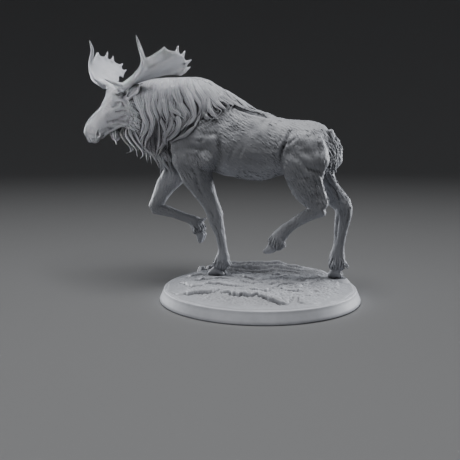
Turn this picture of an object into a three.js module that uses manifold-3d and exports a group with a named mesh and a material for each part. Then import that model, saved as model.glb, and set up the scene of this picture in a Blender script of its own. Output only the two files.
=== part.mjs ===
// A bull moose in mid stride on a round base: an unpainted resin figurine, in millimetres.
// Z is up, the origin is the centre of the base's underside, the moose faces -X and its left side is -Y.
import * as THREE from "three";
import { mergeVertices } from "three/addons/utils/BufferGeometryUtils.js";
import Module from "manifold-3d";

const wasm = await Module();
wasm.setup();

const resin = { color: 0xacadb2, roughness: 0.62, metalness: 0 };
const cutGap = 0.12; // clear width of the thin cuts that part the figure into its nodes

const base = { radius: 25, topRadius: 24, height: 3, edge: 0.25, sides: 48 };
const ground = { radius: 23.3, rings: 4, sectors: 28, foot: 3.12, lip: 0.2, mound: 1.45, skirt: 0.3 };
const midY = 5.7; // the moose stands a little behind the middle of the base

// How the head is carried: the middle of the forehead between the antlers, its turn and its tilt.
const headPlace = { x: -37.8, y: -1.5, z: 52, turn: 60, tilt: -3 };

const vec = (x, y, z) => new THREE.Vector3(x, y, z);
const across = vec(0, 1, 0);
const down = vec(0, 0, -1);

// One oval section of a body: its centre, half its depth, half its width, and how much it narrows upwards.
const oval = (at, deep, wide, narrow = 0) => ({ at, deep, wide, narrow });

// A section beside the moose's middle plane by `out` (left is negative).
const onBody = (x, z, deep, wide, out = 0, narrow = 0) => oval(vec(x, midY + out, z), deep, wide, narrow);

// The head's own axes: ahead, out to the left, and up.
const headTurn = THREE.MathUtils.degToRad(headPlace.turn);
const headTilt = THREE.MathUtils.degToRad(headPlace.tilt);
const headAt = vec(headPlace.x, headPlace.y, headPlace.z);
const ahead = vec(-Math.cos(headTurn), -Math.sin(headTurn), 0);
const headLeft = vec(0, 0, 1).cross(ahead).applyAxisAngle(ahead, headTilt);
const headUp = ahead.clone().cross(headLeft);

function onHead(forward, left, up) {
  const place = headAt.clone().addScaledVector(ahead, forward);
  return place.addScaledVector(headLeft, left).addScaledVector(headUp, up);
}

const headSection = (forward, up, deep, wide, narrow = 0) =>
  oval(onHead(forward, 0, up), deep, wide, narrow);

// ---- making closed bodies

function solidFrom(geometry) {
  const bare = new THREE.BufferGeometry();
  bare.setAttribute("position", geometry.getAttribute("position"));
  if (geometry.index) bare.setIndex(geometry.index);
  const merged = mergeVertices(bare, 1e-4);
  return new wasm.Manifold(
    new wasm.Mesh({
      numProp: 3,
      vertProperties: merged.getAttribute("position").array,
      triVerts: new Uint32Array(merged.index.array),
    }),
  );
}

function bodyFrom(points, faces) {
  const geometry = new THREE.BufferGeometry().setFromPoints(points);
  geometry.setIndex(faces);
  return solidFrom(geometry);
}

// Joins equal rings of points, each given in turning order about the way they advance.
function skinRings(rings, start, end) {
  const sides = rings[0].length;
  const points = rings.flat();
  const startIndex = points.push(start) - 1;
  const endIndex = points.push(end) - 1;
  const lastRing = (rings.length - 1) * sides;
  const faces = [];
  for (let k = 0; k < sides; k++) {
    const next = (k + 1) % sides;
    for (let here = 0; here < lastRing; here += sides) {
      const there = here + sides;
      faces.push(here + k, here + next, there + next, here + k, there + next, there + k);
    }
    faces.push(startIndex, next, k, endIndex, lastRing + k, lastRing + next);
  }
  return bodyFrom(points, faces);
}

const domeScale = 0.76; // the ring between the last section and the very end of a rounded body
const domeReach = 0.65;

// A closed body through oval sections, smooth between them and rounded at both ends.
// Its width runs along `side`, which turns to `sideEnd` by the far end; `grow` thickens it all over.
function loft(sections, options = {}) {
  const { side = across, sideEnd = side, sides = 10, steps = 1, round = 0.6, grow = 0 } = options;
  const centres = new THREE.CatmullRomCurve3(sections.map((s) => s.at));
  const sizes = new THREE.CatmullRomCurve3(sections.map((s) => vec(s.deep, s.wide, s.narrow)));
  const ringAt = (t, scale, shift) => {
    const size = sizes.getPoint(t);
    const along = centres.getTangent(t);
    const wideWay = side.clone().lerp(sideEnd, t);
    wideWay.addScaledVector(along, -wideWay.dot(along)).normalize();
    const deepWay = along.clone().cross(wideWay);
    const middle = centres.getPoint(t).addScaledVector(along, shift);
    const ring = [];
    for (let k = 0; k < sides; k++) {
      const angle = (2 * Math.PI * k) / sides;
      const high = Math.sin(angle);
      const wide = (size.y * (1 - size.z * high) + grow) * scale * Math.cos(angle);
      const deep = (size.x + grow) * scale * high;
      ring.push(middle.clone().addScaledVector(wideWay, wide).addScaledVector(deepWay, deep));
    }
    return ring;
  };
  const reach = (s) => round * Math.min(s.deep, s.wide) + grow;
  const first = reach(sections[0]);
  const last = reach(sections[sections.length - 1]);
  const count = (sections.length - 1) * steps;
  const rings = [ringAt(0, domeScale, -first * domeReach)];
  for (let i = 0; i <= count; i++) rings.push(ringAt(i / count, 1, 0));
  rings.push(ringAt(1, domeScale, last * domeReach));
  const start = centres.getPoint(0).addScaledVector(centres.getTangent(0), -first);
  const end = centres.getPoint(1).addScaledVector(centres.getTangent(1), last);
  return skinRings(rings, start, end);
}

// Everything beyond a plane, starting `gap` after it.
function beyond(point, normal, gap = 0) {
  const size = 200;
  const box = new THREE.BoxGeometry(size, size, size).translate(0, 0, size / 2 + gap);
  const turn = new THREE.Quaternion().setFromUnitVectors(vec(0, 0, 1), normal.clone().normalize());
  box.applyQuaternion(turn).translate(point.x, point.y, point.z);
  return solidFrom(box);
}

// What a body has before and after a plane, a thin cut apart.
const before = (body, plane) => body.subtract(beyond(plane.at, plane.way, -cutGap / 2));
const after = (body, plane) => body.subtract(beyond(plane.at, plane.way.clone().negate(), -cutGap / 2));

const join = (bodies) => bodies.reduce((whole, body) => whole.add(body));
const without = (body, pieces) => pieces.reduce((rest, piece) => rest.subtract(piece), body);

// ---- the round base and its ground

function baseDisc() {
  const { radius, topRadius, height, edge, sides } = base;
  const profile = [
    [0, 0],
    [radius - edge, 0],
    [radius, edge],
    [topRadius, height - edge],
    [topRadius - edge, height],
    [0, height],
  ].map(([r, z]) => new THREE.Vector2(r, z));
  return solidFrom(new THREE.LatheGeometry(profile, sides).rotateX(Math.PI / 2));
}

function moundHeight(distance) {
  const inward = 1 - distance / ground.radius;
  return ground.foot + ground.lip + ground.mound * THREE.MathUtils.smoothstep(inward, 0, ground.skirt);
}

// Rock slabs and fallen wood: where each starts and ends, its top there, and its half width.
const slabs = {
  backSlab: { from: [-12.5, 10.8, 6.3], to: [1.5, 11.8, 7.0], wide: 2.3 },
  backRoot: { from: [1.5, 11.8, 7.0], to: [15.5, 13.2, 4.7], wide: 2.1 },
  frontBranch: { from: [-20.5, -8.8, 4.5], to: [-5, -13.8, 4.9], wide: 1.5 },
  brokenLedge: { from: [-7, -6.2, 5.0], to: [8.5, -10.2, 5.1], wide: 2.0 },
  frontLedge: { from: [1.5, -17.6, 4.2], to: [12.5, -16.4, 4.4], wide: 1.5 },
  flatSlab: { from: [-17.5, -3.6, 4.9], to: [-4.5, -2.2, 5.1], wide: 2.2 },
  stoneLeft: { from: [4.5, -3.6, 5.3], to: [6.8, -2.6, 5.4], wide: 1.5 },
  stoneRight: { from: [9.2, -5.2, 5.1], to: [12.4, -4.6, 5.0], wide: 1.4 },
  stoneBack: { from: [-19.6, 7.6, 4.9], to: [-16.4, 9.4, 4.7], wide: 1.5 },
};

function slabBody({ from, to, wide }) {
  const low = ground.foot + 0.3;
  const sections = [0, 0.3, 0.7, 1].map((t) => {
    const x = THREE.MathUtils.lerp(from[0], to[0], t);
    const y = THREE.MathUtils.lerp(from[1], to[1], t);
    const top = THREE.MathUtils.lerp(from[2], to[2], t);
    const fullness = t > 0 && t < 1 ? 1 : 0.8;
    return oval(vec(x, y, (low + top) / 2), ((top - low) / 2) * fullness, wide * fullness);
  });
  const away = vec(to[0] - from[0], to[1] - from[1], 0).normalize();
  return loft(sections, { side: vec(0, 0, 1).cross(away), sides: 7 });
}

function groundBody(hooves) {
  const { radius, rings, sectors, foot } = ground;
  const circles = [];
  const circle = (r, z) => {
    const ring = [];
    for (let k = 0; k < sectors; k++) {
      const angle = (-2 * Math.PI * k) / sectors;
      ring.push(vec(r * Math.cos(angle), r * Math.sin(angle), z));
    }
    circles.push(ring);
  };
  for (let i = 1; i <= rings; i++) circle((radius * i) / rings, moundHeight((radius * i) / rings));
  circle(radius, foot);
  const mound = skinRings(circles, vec(0, 0, moundHeight(0)), vec(0, 0, foot));
  const uncut = join([mound, ...Object.values(slabs).map(slabBody)]);
  return without(uncut, hooves);
}

// ---- trunk, neck, mane and tail

const trunkSections = [
  onBody(-23.4, 44.2, 6.6, 4.2, 0, 0.1), // breast
  onBody(-20.4, 43.6, 10.6, 5.6, 0, 0.25), // withers, the highest point of the back
  onBody(-15, 42.2, 10.6, 6.3, 0, 0.3),
  onBody(-8, 39.1, 9.4, 7.0, 0, 0.2), // ribs
  onBody(-1.5, 37.7, 8.4, 7.1, 0, 0.1), // belly
  onBody(5, 37.6, 6.7, 6.1, 0, 0.1), // flank
  onBody(10.2, 37.4, 6.5, 5.9, 0, 0.15), // hips
  onBody(13.4, 37.2, 5.9, 5.0, 0, 0.15), // rump
  onBody(14.8, 37.5, 4.7, 3.4, 0, 0.1),
];

const neckSections = [
  onBody(-17.5, 45.5, 8.4, 4.8),
  oval(vec(-24, 5.2, 46.2), 8.7, 4.8),
  oval(vec(-29.8, 3.4, 46.9), 7.6, 4.5),
  oval(vec(-34.4, 0.9, 47.6), 5.9, 3.8),
  oval(vec(-37, -1, 48.6), 4.0, 3.0),
];
const neckRoot = { at: vec(-25.4, 5, 46), way: vec(-1, -0.2, 0) };

// The crest of long hair: from the nape over the withers, then a narrow ridge down the back.
const maneSections = [
  oval(vec(-34.6, 0.9, 51.2), 1.9, 2.7),
  oval(vec(-30, 3.6, 51.4), 3.6, 4.6),
  oval(vec(-24.5, 5.3, 50.6), 4.6, 6.0),
  onBody(-19, 49.7, 5.5, 6.5),
  onBody(-13.6, 48.6, 3.9, 5.5),
  onBody(-8.2, 47.1, 1.9, 3.2),
  onBody(-2, 45.7, 0.9, 1.6),
  onBody(4, 44.4, 0.4, 0.5),
];

// Hair hanging from the throat and the breast.
const throatManeSections = [
  oval(vec(-36.6, -0.6, 42.8), 1.5, 0.8),
  oval(vec(-33.6, 1.1, 39.6), 3.6, 1.3),
  oval(vec(-30.2, 3.0, 37.3), 4.6, 1.7),
  oval(vec(-27, 4.6, 35.2), 4.6, 1.9),
  oval(vec(-25.2, 5.4, 33.0), 3.3, 1.5),
];

const tailSections = [
  onBody(16.0, 41.4, 0.7, 0.9),
  onBody(16.8, 38.4, 0.75, 1.05, -0.1),
  onBody(16.8, 35.0, 0.8, 1.1, -0.2),
  onBody(16.6, 32.4, 0.8, 1.05, -0.2),
  onBody(16.7, 30.9, 0.4, 0.5, -0.2),
];

const neckSides = { side: across, sideEnd: headLeft.clone().negate() };
const trunk = (grow = 0) => loft(trunkSections, { sides: 14, grow });
const neck = loft(neckSections, { sides: 14, ...neckSides });
const mane = (grow = 0) => loft(maneSections, { sides: 11, grow });
const throatMane = (grow = 0) => loft(throatManeSections, { grow, ...neckSides });
const tail = (grow = 0) => loft(tailSections, { sides: 8, grow });

// ---- head

const headSections = [
  headSection(-2.4, -3.2, 3.0, 2.5),
  headSection(0.2, -4.3, 4.25, 3.0, -0.1), // forehead and jaw angle
  headSection(2.5, -6.8, 3.4, 2.45, 0.1), // cheek
  headSection(4.75, -8.35, 3.0, 2.0, 0.1), // bridge of the nose
  headSection(6.35, -9.95, 2.9, 2.3, 0.05), // nostrils
  headSection(7.35, -11.5, 2.3, 2.3), // overhanging upper lip
];

// The dewlap that hangs below the throat.
const bellSections = [
  headSection(0.4, -10.0, 1.5, 0.8),
  headSection(0.35, -12.0, 0.9, 0.6),
  headSection(0.25, -13.9, 0.4, 0.35),
];

const eye = { forward: 0.45, left: 2.5, up: -1.15, radius: 0.53, socket: 0.78, socketOut: 0.25 };

// A place on the head, on its left for hand 1 and its right for hand -1.
const onSide = ([forward, left, up], hand) => onHead(forward, left * hand, up);

// The brow reaches out over each eye.
const browSections = [-1, 0, 1].map((hand) => oval(onSide([0.9, 2.1, -1.0], hand), 1.25, 1.35));

const skull = (grow = 0) => loft(headSections, { side: headLeft, sides: 12, grow });
const brow = (grow = 0) => loft(browSections, { side: ahead, sides: 7, grow });
const head = (grow = 0) => skull(grow).add(brow(grow));
const bell = (grow = 0) => loft(bellSections, { side: headLeft, sides: 8, grow });

function ball([forward, left, up], radius, hand) {
  const at = onSide([forward, left, up], hand);
  return solidFrom(new THREE.SphereGeometry(radius, 9, 6).translate(at.x, at.y, at.z));
}

const eyeBall = (hand) => ball([eye.forward, eye.left, eye.up], eye.radius, hand);
const eyeSocket = (hand) => ball([eye.forward, eye.left + eye.socketOut, eye.up], eye.socket, hand);

function ear(hand, grow = 0) {
  const sections = [
    oval(onSide([-1.2, 2.6, -2.6], hand), 0.6, 0.75),
    oval(onSide([-1.5, 3.6, -1.6], hand), 0.6, 1.15),
    oval(onSide([-2.3, 4.8, 0.1], hand), 0.42, 1.3),
    oval(onSide([-3.1, 5.8, 1.6], hand), 0.28, 0.65),
  ];
  return loft(sections, { side: ahead, sides: 8, round: 0.8, grow });
}

// ---- antlers, in the head's axes: drawn for the left one and mirrored for the right

// Rows of forward, left, up and radius.
const beamRows = [
  [0.1, 1.4, -0.1, 0.95],
  [0.2, 3.0, 0.65, 1.1], // burr
  [0.3, 4.6, 1.2, 0.92],
  [0.7, 7.0, 1.9, 0.95],
  [0.9, 9.6, 2.9, 0.9],
  [0.7, 11.6, 4.4, 0.85],
];
const frontTineRows = [
  [0.6, 12.2, 5.2, 0.72],
  [0.5, 12.4, 7.4, 0.58],
  [0.8, 10.9, 10.3, 0.42],
  [1.65, 10.9, 12.4, 0.28],
];
const browTineRows = [
  [0.7, 5.2, 1.0, 0.75],
  [2.4, 4.0, 1.3, 0.58],
  [4.0, 3.0, 1.9, 0.42],
  [5.2, 2.5, 2.35, 0.28],
];
const rearTineRows = [
  [[-5.4, 15.6, 7.6, 0.62], [-6.6, 16.2, 9.5, 0.42], [-6.9, 16.1, 10.5, 0.27]],
  [[-7.4, 15.4, 7.3, 0.62], [-8.6, 16.1, 9.0, 0.4], [-8.9, 16.3, 9.7, 0.27]],
  [[-9.2, 14.9, 6.5, 0.6], [-10.8, 15.4, 7.3, 0.4], [-11.5, 15.5, 7.7, 0.27]],
  [[-10.2, 14.1, 5.2, 0.6], [-11.6, 14.5, 5.9, 0.4], [-12.1, 14.6, 6.2, 0.27]],
];

// Strips across the palm, from its rear inner edge to its front outer edge, out from the burr.
const palmStrips = [
  { rear: [-2.4, 5.0, 1.6], front: [0.5, 6.8, 1.8], thick: 0.62 },
  { rear: [-4.6, 7.2, 2.6], front: [0.7, 9.3, 2.8], thick: 0.55 },
  { rear: [-6.2, 9.6, 3.3], front: [0.4, 11.5, 4.6], thick: 0.5 },
  { rear: [-8.2, 11.6, 3.8], front: [0.0, 12.4, 7.3], thick: 0.46 },
  { rear: [-10.4, 13.1, 4.4], front: [-2.4, 14.4, 9.3], thick: 0.42 },
  { rear: [-11.6, 14.2, 5.8], front: [-5.2, 16.2, 8.9], thick: 0.38 },
];
const palmDish = { depth: 1.1, spans: 5, cells: 4 };

function spike(rows, hand, grow = 0) {
  const sections = rows.map((row) => oval(onSide(row, hand), row[3], row[3]));
  return loft(sections, { side: headUp, sides: 6, round: 0.8, grow });
}

const beam = (hand, grow = 0) => spike(beamRows, hand, grow);
const frontTine = (hand, grow = 0) => spike(frontTineRows, hand, grow);
const browTine = (hand) => spike(browTineRows, hand);

// A dished plate: each ring goes round one strip, along its outer face and back along its inner one.
function palmPlate(hand) {
  const { depth, spans, cells } = palmDish;
  const rearEdge = new THREE.CatmullRomCurve3(palmStrips.map((s) => onSide(s.rear, hand)));
  const frontEdge = new THREE.CatmullRomCurve3(palmStrips.map((s) => onSide(s.front, hand)));
  const thickness = new THREE.CatmullRomCurve3(palmStrips.map((s) => vec(s.thick, 0, 0)));
  const rings = [];
  for (let i = 0; i <= spans; i++) {
    const t = i / spans;
    const rear = rearEdge.getPoint(t);
    const front = frontEdge.getPoint(t);
    const along = rearEdge.getTangent(t).add(frontEdge.getTangent(t));
    const outward = along.cross(front.clone().sub(rear)).normalize().multiplyScalar(hand);
    const ring = [];
    for (const face of [1, -1]) {
      for (let k = 0; k <= cells; k++) {
        const s = face * hand > 0 ? 1 - k / cells : k / cells;
        const hollow = depth * 4 * s * (1 - s) * Math.min(1, t * 2.5);
        const body = thickness.getPoint(t).x * (0.55 + 0.45 * Math.sin(Math.PI * s));
        const place = rear.clone().lerp(front, s);
        ring.push(place.addScaledVector(outward, hollow + face * body));
      }
    }
    rings.push(ring);
  }
  const middleOf = (ring) => {
    const half = cells / 2;
    return ring[half].clone().add(ring[cells + 1 + half]).multiplyScalar(0.5);
  };
  return skinRings(rings, middleOf(rings[0]), middleOf(rings[spans]));
}

const palm = (hand) => join([palmPlate(hand), ...rearTineRows.map((rows) => spike(rows, hand))]);

// ---- legs: the free leg leaves the body at `root`, folds at `joint` and ends in a hoof below `coronet`

const cleftWidth = 0.36; // the gap between the two toes of a hoof
const cleftReach = 1.7;

const legs = {
  foreleg_left: {
    root: { at: vec(-17.4, 0, 31.2), way: down },
    joint: { at: vec(-12.4, 0, 20.4), way: down },
    coronet: { at: vec(-11.5, 0, 6.9), way: down },
    sole: 4.6,
    toe: vec(-14.7, midY - 3.5, 4.6),
    upper: [
      onBody(-17.8, 47.0, 2.4, 0.9, -4.2), // shoulder blade
      onBody(-18.6, 42.0, 5.0, 2.5, -4.8),
      onBody(-18.3, 36.0, 5.5, 2.9, -4.5), // shoulder and elbow
      onBody(-17.6, 32.0, 4.4, 2.7, -4.3),
      onBody(-15.9, 27.4, 3.2, 2.1, -4.1), // forearm
      onBody(-14.0, 23.7, 2.3, 1.7, -3.9),
      onBody(-12.6, 20.6, 2.0, 1.65, -3.8), // knee
      onBody(-12.2, 18.6, 1.75, 1.45, -3.7),
    ],
    lower: [
      onBody(-12.6, 20.8, 2.0, 1.65, -3.8),
      onBody(-12.2, 18.6, 1.75, 1.45, -3.7),
      onBody(-11.2, 15.4, 1.2, 1.1, -3.6), // cannon
      onBody(-10.5, 11.6, 1.15, 1.1, -3.5),
      onBody(-10.5, 9.2, 1.75, 1.5, -3.5), // fetlock
      onBody(-11.3, 7.4, 1.7, 1.6, -3.5),
    ],
    hoof: [
      onBody(-11.4, 7.2, 1.6, 1.6, -3.5),
      onBody(-11.9, 5.8, 2.1, 1.85, -3.5),
      onBody(-12.2, 4.3, 2.6, 2.0, -3.5),
    ],
    dewclaw: [onBody(-9.4, 8.2, 0.6, 1.1, -3.5), onBody(-8.6, 7.4, 0.4, 0.9, -3.5)],
  },
  foreleg_right: {
    root: { at: vec(-24.6, 0, 32.6), way: vec(-0.62, 0, -0.78) },
    joint: { at: vec(-32.8, 0, 20.5), way: vec(0.33, 0, -0.94) },
    coronet: { at: vec(-19.6, 0, 14.9), way: vec(0.25, 0, -0.97) },
    toe: vec(-18.9, midY + 3.6, 11),
    upper: [
      onBody(-17.8, 47.0, 2.4, 0.9, 4.2),
      onBody(-19.6, 41.5, 5.0, 2.5, 4.8),
      onBody(-22.4, 36.0, 5.2, 2.8, 4.6),
      onBody(-26.0, 31.4, 3.6, 2.5, 4.2),
      onBody(-29.2, 27.2, 2.65, 2.0, 4.0),
      onBody(-31.5, 23.4, 2.0, 1.65, 3.9),
      onBody(-32.7, 20.9, 1.85, 1.6, 3.9), // folded knee
    ],
    lower: [
      onBody(-32.6, 20.6, 1.6, 1.5, 3.9),
      onBody(-29.2, 19.9, 1.35, 1.2, 3.8),
      onBody(-25.4, 18.8, 1.15, 1.05, 3.7),
      onBody(-22.4, 17.9, 1.25, 1.1, 3.6),
      onBody(-20.5, 16.9, 1.75, 1.5, 3.6),
      onBody(-19.8, 15.2, 1.6, 1.5, 3.6),
    ],
    hoof: [
      onBody(-19.8, 15.3, 1.55, 1.5, 3.6),
      onBody(-19.2, 14.0, 1.85, 1.7, 3.6),
      onBody(-18.9, 12.4, 1.3, 1.45, 3.6),
      onBody(-19.0, 11.4, 0.6, 0.8, 3.6),
    ],
    dewclaw: [onBody(-19.5, 17.4, 0.6, 1.0, 3.6), onBody(-18.1, 17.8, 0.4, 0.8, 3.6)],
  },
  hindleg_left: {
    root: { at: vec(10.5, 0, 33.2), way: down },
    joint: { at: vec(14.6, 0, 22.9), way: vec(-0.27, 0, -0.96) },
    coronet: { at: vec(3.4, 0, 13.2), way: vec(-0.62, 0, -0.78) },
    toe: vec(0.7, midY - 4.3, 11.1),
    upper: [
      onBody(10.5, 41.2, 2.8, 1.1, -3.5), // hip
      onBody(10.6, 37.0, 5.0, 2.6, -4.2),
      onBody(10.6, 32.6, 5.1, 2.8, -4.3), // thigh
      onBody(11.2, 28.6, 4.0, 2.4, -4.3), // stifle to gaskin
      onBody(13.4, 25.2, 3.0, 1.8, -4.3),
      onBody(14.6, 23.1, 2.4, 1.5, -4.3), // hock
    ],
    lower: [
      onBody(14.8, 22.8, 1.9, 1.5, -4.3),
      onBody(11.6, 21.1, 1.45, 1.25, -4.3),
      onBody(8.2, 18.9, 1.15, 1.1, -4.3), // cannon
      onBody(6.0, 17.2, 1.45, 1.3, -4.3),
      onBody(4.4, 15.2, 1.85, 1.5, -4.3), // fetlock
      onBody(3.6, 13.6, 1.7, 1.5, -4.3),
    ],
    hoof: [
      onBody(3.7, 13.7, 1.65, 1.5, -4.3),
      onBody(2.6, 12.4, 1.65, 1.75, -4.3),
      onBody(1.3, 11.5, 1.2, 1.5, -4.3),
    ],
    dewclaw: [onBody(5.0, 14.8, 0.6, 1.1, -4.3), onBody(5.9, 13.6, 0.4, 0.9, -4.3)],
  },
  hindleg_right: {
    root: { at: vec(12.4, 0, 33.2), way: down },
    joint: { at: vec(19.2, 0, 21.4), way: down },
    coronet: { at: vec(17.9, 0, 6.9), way: down },
    sole: 4.4,
    toe: vec(15.2, midY + 3.5, 4.4),
    upper: [
      onBody(10.8, 41.2, 2.8, 1.1, 3.5),
      onBody(12.3, 37.4, 5.7, 2.7, 4.0),
      onBody(12.4, 34.4, 5.4, 2.8, 4.1), // buttock
      onBody(12.4, 31.4, 4.1, 2.7, 4.1),
      onBody(13.6, 28.4, 3.4, 2.3, 3.9),
      onBody(17.0, 25.0, 2.5, 1.7, 3.7),
      onBody(19.1, 22.6, 2.15, 1.5, 3.6),
      onBody(19.2, 20.6, 2.0, 1.45, 3.6),
    ],
    lower: [
      onBody(19.2, 21.6, 2.1, 1.5, 3.6),
      onBody(18.9, 18.2, 1.75, 1.3, 3.5),
      onBody(18.3, 13.0, 1.3, 1.15, 3.5),
      onBody(17.9, 9.8, 1.95, 1.5, 3.5),
      onBody(18.0, 7.6, 1.75, 1.55, 3.5),
    ],
    hoof: [
      onBody(18.0, 7.4, 1.6, 1.55, 3.5),
      onBody(17.6, 5.8, 1.8, 1.75, 3.5),
      onBody(17.3, 4.2, 2.2, 1.85, 3.5),
    ],
    dewclaw: [onBody(19.3, 8.6, 0.6, 1.1, 3.5), onBody(20.2, 7.6, 0.4, 0.9, 3.5)],
  },
};

const shoulder = (leg) => before(loft(leg.upper), leg.root);
const freeLeg = (leg, grow = 0) => after(loft(leg.upper, { grow }), leg.root);

function legPieces(leg) {
  const { joint, coronet, sole, toe } = leg;
  const upper = before(freeLeg(leg), joint);
  const cannon = after(loft(leg.lower), joint);
  const claws = loft(leg.dewclaw, { sides: 6 });
  const lower = join([before(cannon, coronet), before(claws, coronet)]);
  const cleft = new THREE.CylinderGeometry(cleftReach, cleftReach, cleftWidth, 12);
  let hoof = after(loft(leg.hoof), coronet).subtract(solidFrom(cleft.translate(toe.x, toe.y, toe.z)));
  if (sole) hoof = hoof.subtract(beyond(vec(0, 0, sole), down));
  return { upper, lower, hoof };
}

// ---- assembly: where one piece sits in another, the one that carries it is hollowed a little wider

// A group with its origin at a place of the figure, under the group it belongs to.
function groupAt(place, parent) {
  const made = new THREE.Group();
  made.position.copy(place).sub(parent.getWorldPosition(vec(0, 0, 0)));
  parent.add(made);
  return made;
}

function addNode(parent, name, body) {
  const { numProp, vertProperties, triVerts } = body.getMesh();
  const stored = new THREE.InterleavedBuffer(vertProperties, numProp);
  const indexed = new THREE.BufferGeometry();
  indexed.setAttribute("position", new THREE.InterleavedBufferAttribute(stored, 3, 0));
  indexed.setIndex(new THREE.BufferAttribute(triVerts, 1));
  const geometry = indexed.toNonIndexed();
  const origin = parent.getWorldPosition(vec(0, 0, 0));
  geometry.translate(-origin.x, -origin.y, -origin.z);
  geometry.computeVertexNormals();
  const mesh = new THREE.Mesh(geometry, new THREE.MeshStandardMaterial(resin));
  mesh.name = name;
  parent.add(mesh);
}

const figurine = new THREE.Group();
const moose = groupAt(vec(0, midY, 0), figurine);
const headGroup = groupAt(headAt, moose);

const hands = { left: 1, right: -1 };
const bothSides = (make) => Object.values(hands).map((hand) => make(hand, cutGap));
const allLegs = Object.values(legs);

const headRoom = head(cutGap);
const hairRoom = [mane(cutGap), throatMane(cutGap)];
const crownRoom = [...bothSides(beam), ...bothSides(ear)];
const legRoom = allLegs.map((leg) => freeLeg(leg, cutGap));
const trunkRoom = [trunk(cutGap), loft(legs.foreleg_right.upper, { grow: cutGap })];

const wholeTrunk = join([trunk(), before(neck, neckRoot), ...allLegs.map(shoulder)]);
addNode(moose, "trunk", without(wholeTrunk, [...hairRoom, ...legRoom, tail(cutGap)]));
const freeNeck = after(neck, neckRoot);
addNode(moose, "neck", without(freeNeck, [...trunkRoom, ...hairRoom, ...crownRoom, headRoom]));
addNode(moose, "mane", without(mane(), [...crownRoom, headRoom]));
addNode(moose, "throat_mane", without(throatMane(), [...legRoom, headRoom, bell(cutGap)]));
addNode(moose, "tail", tail());
addNode(headGroup, "head", without(head(), [...crownRoom, ...bothSides(eyeSocket), bell(cutGap)]));
addNode(headGroup, "bell", bell());

for (const [side, hand] of Object.entries(hands)) {
  addNode(headGroup, "eye_" + side, eyeBall(hand));
  addNode(headGroup, "ear_" + side, ear(hand).subtract(beam(hand, cutGap)));
  const antler = groupAt(onSide(beamRows[1], hand), headGroup);
  const name = "antler_" + side;
  addNode(antler, name + "_beam", beam(hand));
  addNode(antler, name + "_brow_tine", browTine(hand).subtract(beam(hand, cutGap)));
  addNode(antler, name + "_front_tine", frontTine(hand).subtract(beam(hand, cutGap)));
  const besidePalm = [beam(hand, cutGap), frontTine(hand, cutGap), ear(hand, cutGap)];
  addNode(antler, name + "_palm", without(palm(hand), besidePalm));
}

for (const [name, leg] of Object.entries(legs)) {
  const { upper, lower, hoof } = legPieces(leg);
  const limb = groupAt(leg.upper[1].at, moose);
  addNode(limb, name + "_upper", upper);
  addNode(limb, name + "_lower", lower);
  addNode(limb, name + "_hoof", hoof);
}

// Each planted hoof stands in a shallow flat rest.
function restFor(leg) {
  const print = leg.hoof[leg.hoof.length - 1];
  const rest = new THREE.CylinderGeometry(print.deep + 0.4, print.deep + 0.4, 4, 16);
  rest.rotateX(Math.PI / 2).translate(print.at.x, print.at.y, leg.sole - cutGap + 2);
  return solidFrom(rest);
}

addNode(figurine, "base_disc", baseDisc());
addNode(figurine, "ground", groundBody(allLegs.filter((leg) => leg.sole).map(restFor)));

export default figurine;
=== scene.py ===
import math
import time

import bpy
import numpy as np
import openvdb
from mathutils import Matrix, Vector
from mathutils.bvhtree import BVHTree
from mathutils.kdtree import KDTree


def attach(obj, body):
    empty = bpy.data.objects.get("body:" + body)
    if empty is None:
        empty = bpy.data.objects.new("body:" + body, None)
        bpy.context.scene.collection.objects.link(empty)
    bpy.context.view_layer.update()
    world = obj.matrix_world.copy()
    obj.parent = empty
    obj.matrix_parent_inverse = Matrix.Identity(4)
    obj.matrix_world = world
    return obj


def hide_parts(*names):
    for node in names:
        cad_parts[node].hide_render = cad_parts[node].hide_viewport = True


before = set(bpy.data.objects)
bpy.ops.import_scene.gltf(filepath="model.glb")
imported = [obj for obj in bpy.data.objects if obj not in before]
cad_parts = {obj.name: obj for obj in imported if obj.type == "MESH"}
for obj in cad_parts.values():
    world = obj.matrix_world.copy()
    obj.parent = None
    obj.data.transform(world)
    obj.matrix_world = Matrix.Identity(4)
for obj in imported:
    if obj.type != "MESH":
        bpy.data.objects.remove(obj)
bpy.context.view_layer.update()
started = time.time()

# A cast resin figurine of a bull moose. Sizes in the tables are millimetres in the frame of the
# model: z up, the moose faces -x, its left side faces -y. Meshes are scaled to metres when made.
mm = 0.001
midY = 5.7  # the moose's own middle plane
pose = {
    "headAt": (-37.8, -1.5, 52.0),  # middle of the forehead, between the antlers
    "headTurn": 60,  # from facing -x towards the left
    "headTilt": -3,
}


def report(stage):
    print("%5.1f s  %s" % (time.time() - started, stage))


def vec(*numbers):
    return np.array(numbers, float)


def unit(v):
    return v / np.linalg.norm(v)


def units(rows):
    return rows / np.maximum(np.linalg.norm(rows, axis=-1, keepdims=True), 1e-9)


def turned(v, axis, degrees):
    a = math.radians(degrees)
    return v * math.cos(a) + np.cross(axis, v) * math.sin(a) + axis * (axis @ v) * (1 - math.cos(a))


headAt = vec(*pose["headAt"])
ahead = turned(vec(-1, 0, 0), vec(0, 0, 1), pose["headTurn"])
headLeft = turned(np.cross(vec(0, 0, 1), ahead), ahead, pose["headTilt"])
headUp = np.cross(ahead, headLeft)


def onHead(forward, left, up):
    return headAt + forward * ahead + left * headLeft + up * headUp


def fromHead(points):  # the same the other way: forward, left and up of points in the frame
    return (points - headAt) @ np.stack([ahead, headLeft, headUp], 1)


def onBody(x, out, z):
    return vec(x, midY + out, z)


# Sculpting: a form is a set of solids, each a distance in mm with the line that it follows and its
# least and most radius. Forms are joined or cut softly in turn, and the whole becomes one mesh.

def softJoin(a, b, soft):
    h = np.clip(0.5 + 0.5 * (b - a) / soft, 0, 1)
    return b + (a - b) * h - soft * h * (1 - h)


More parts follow.
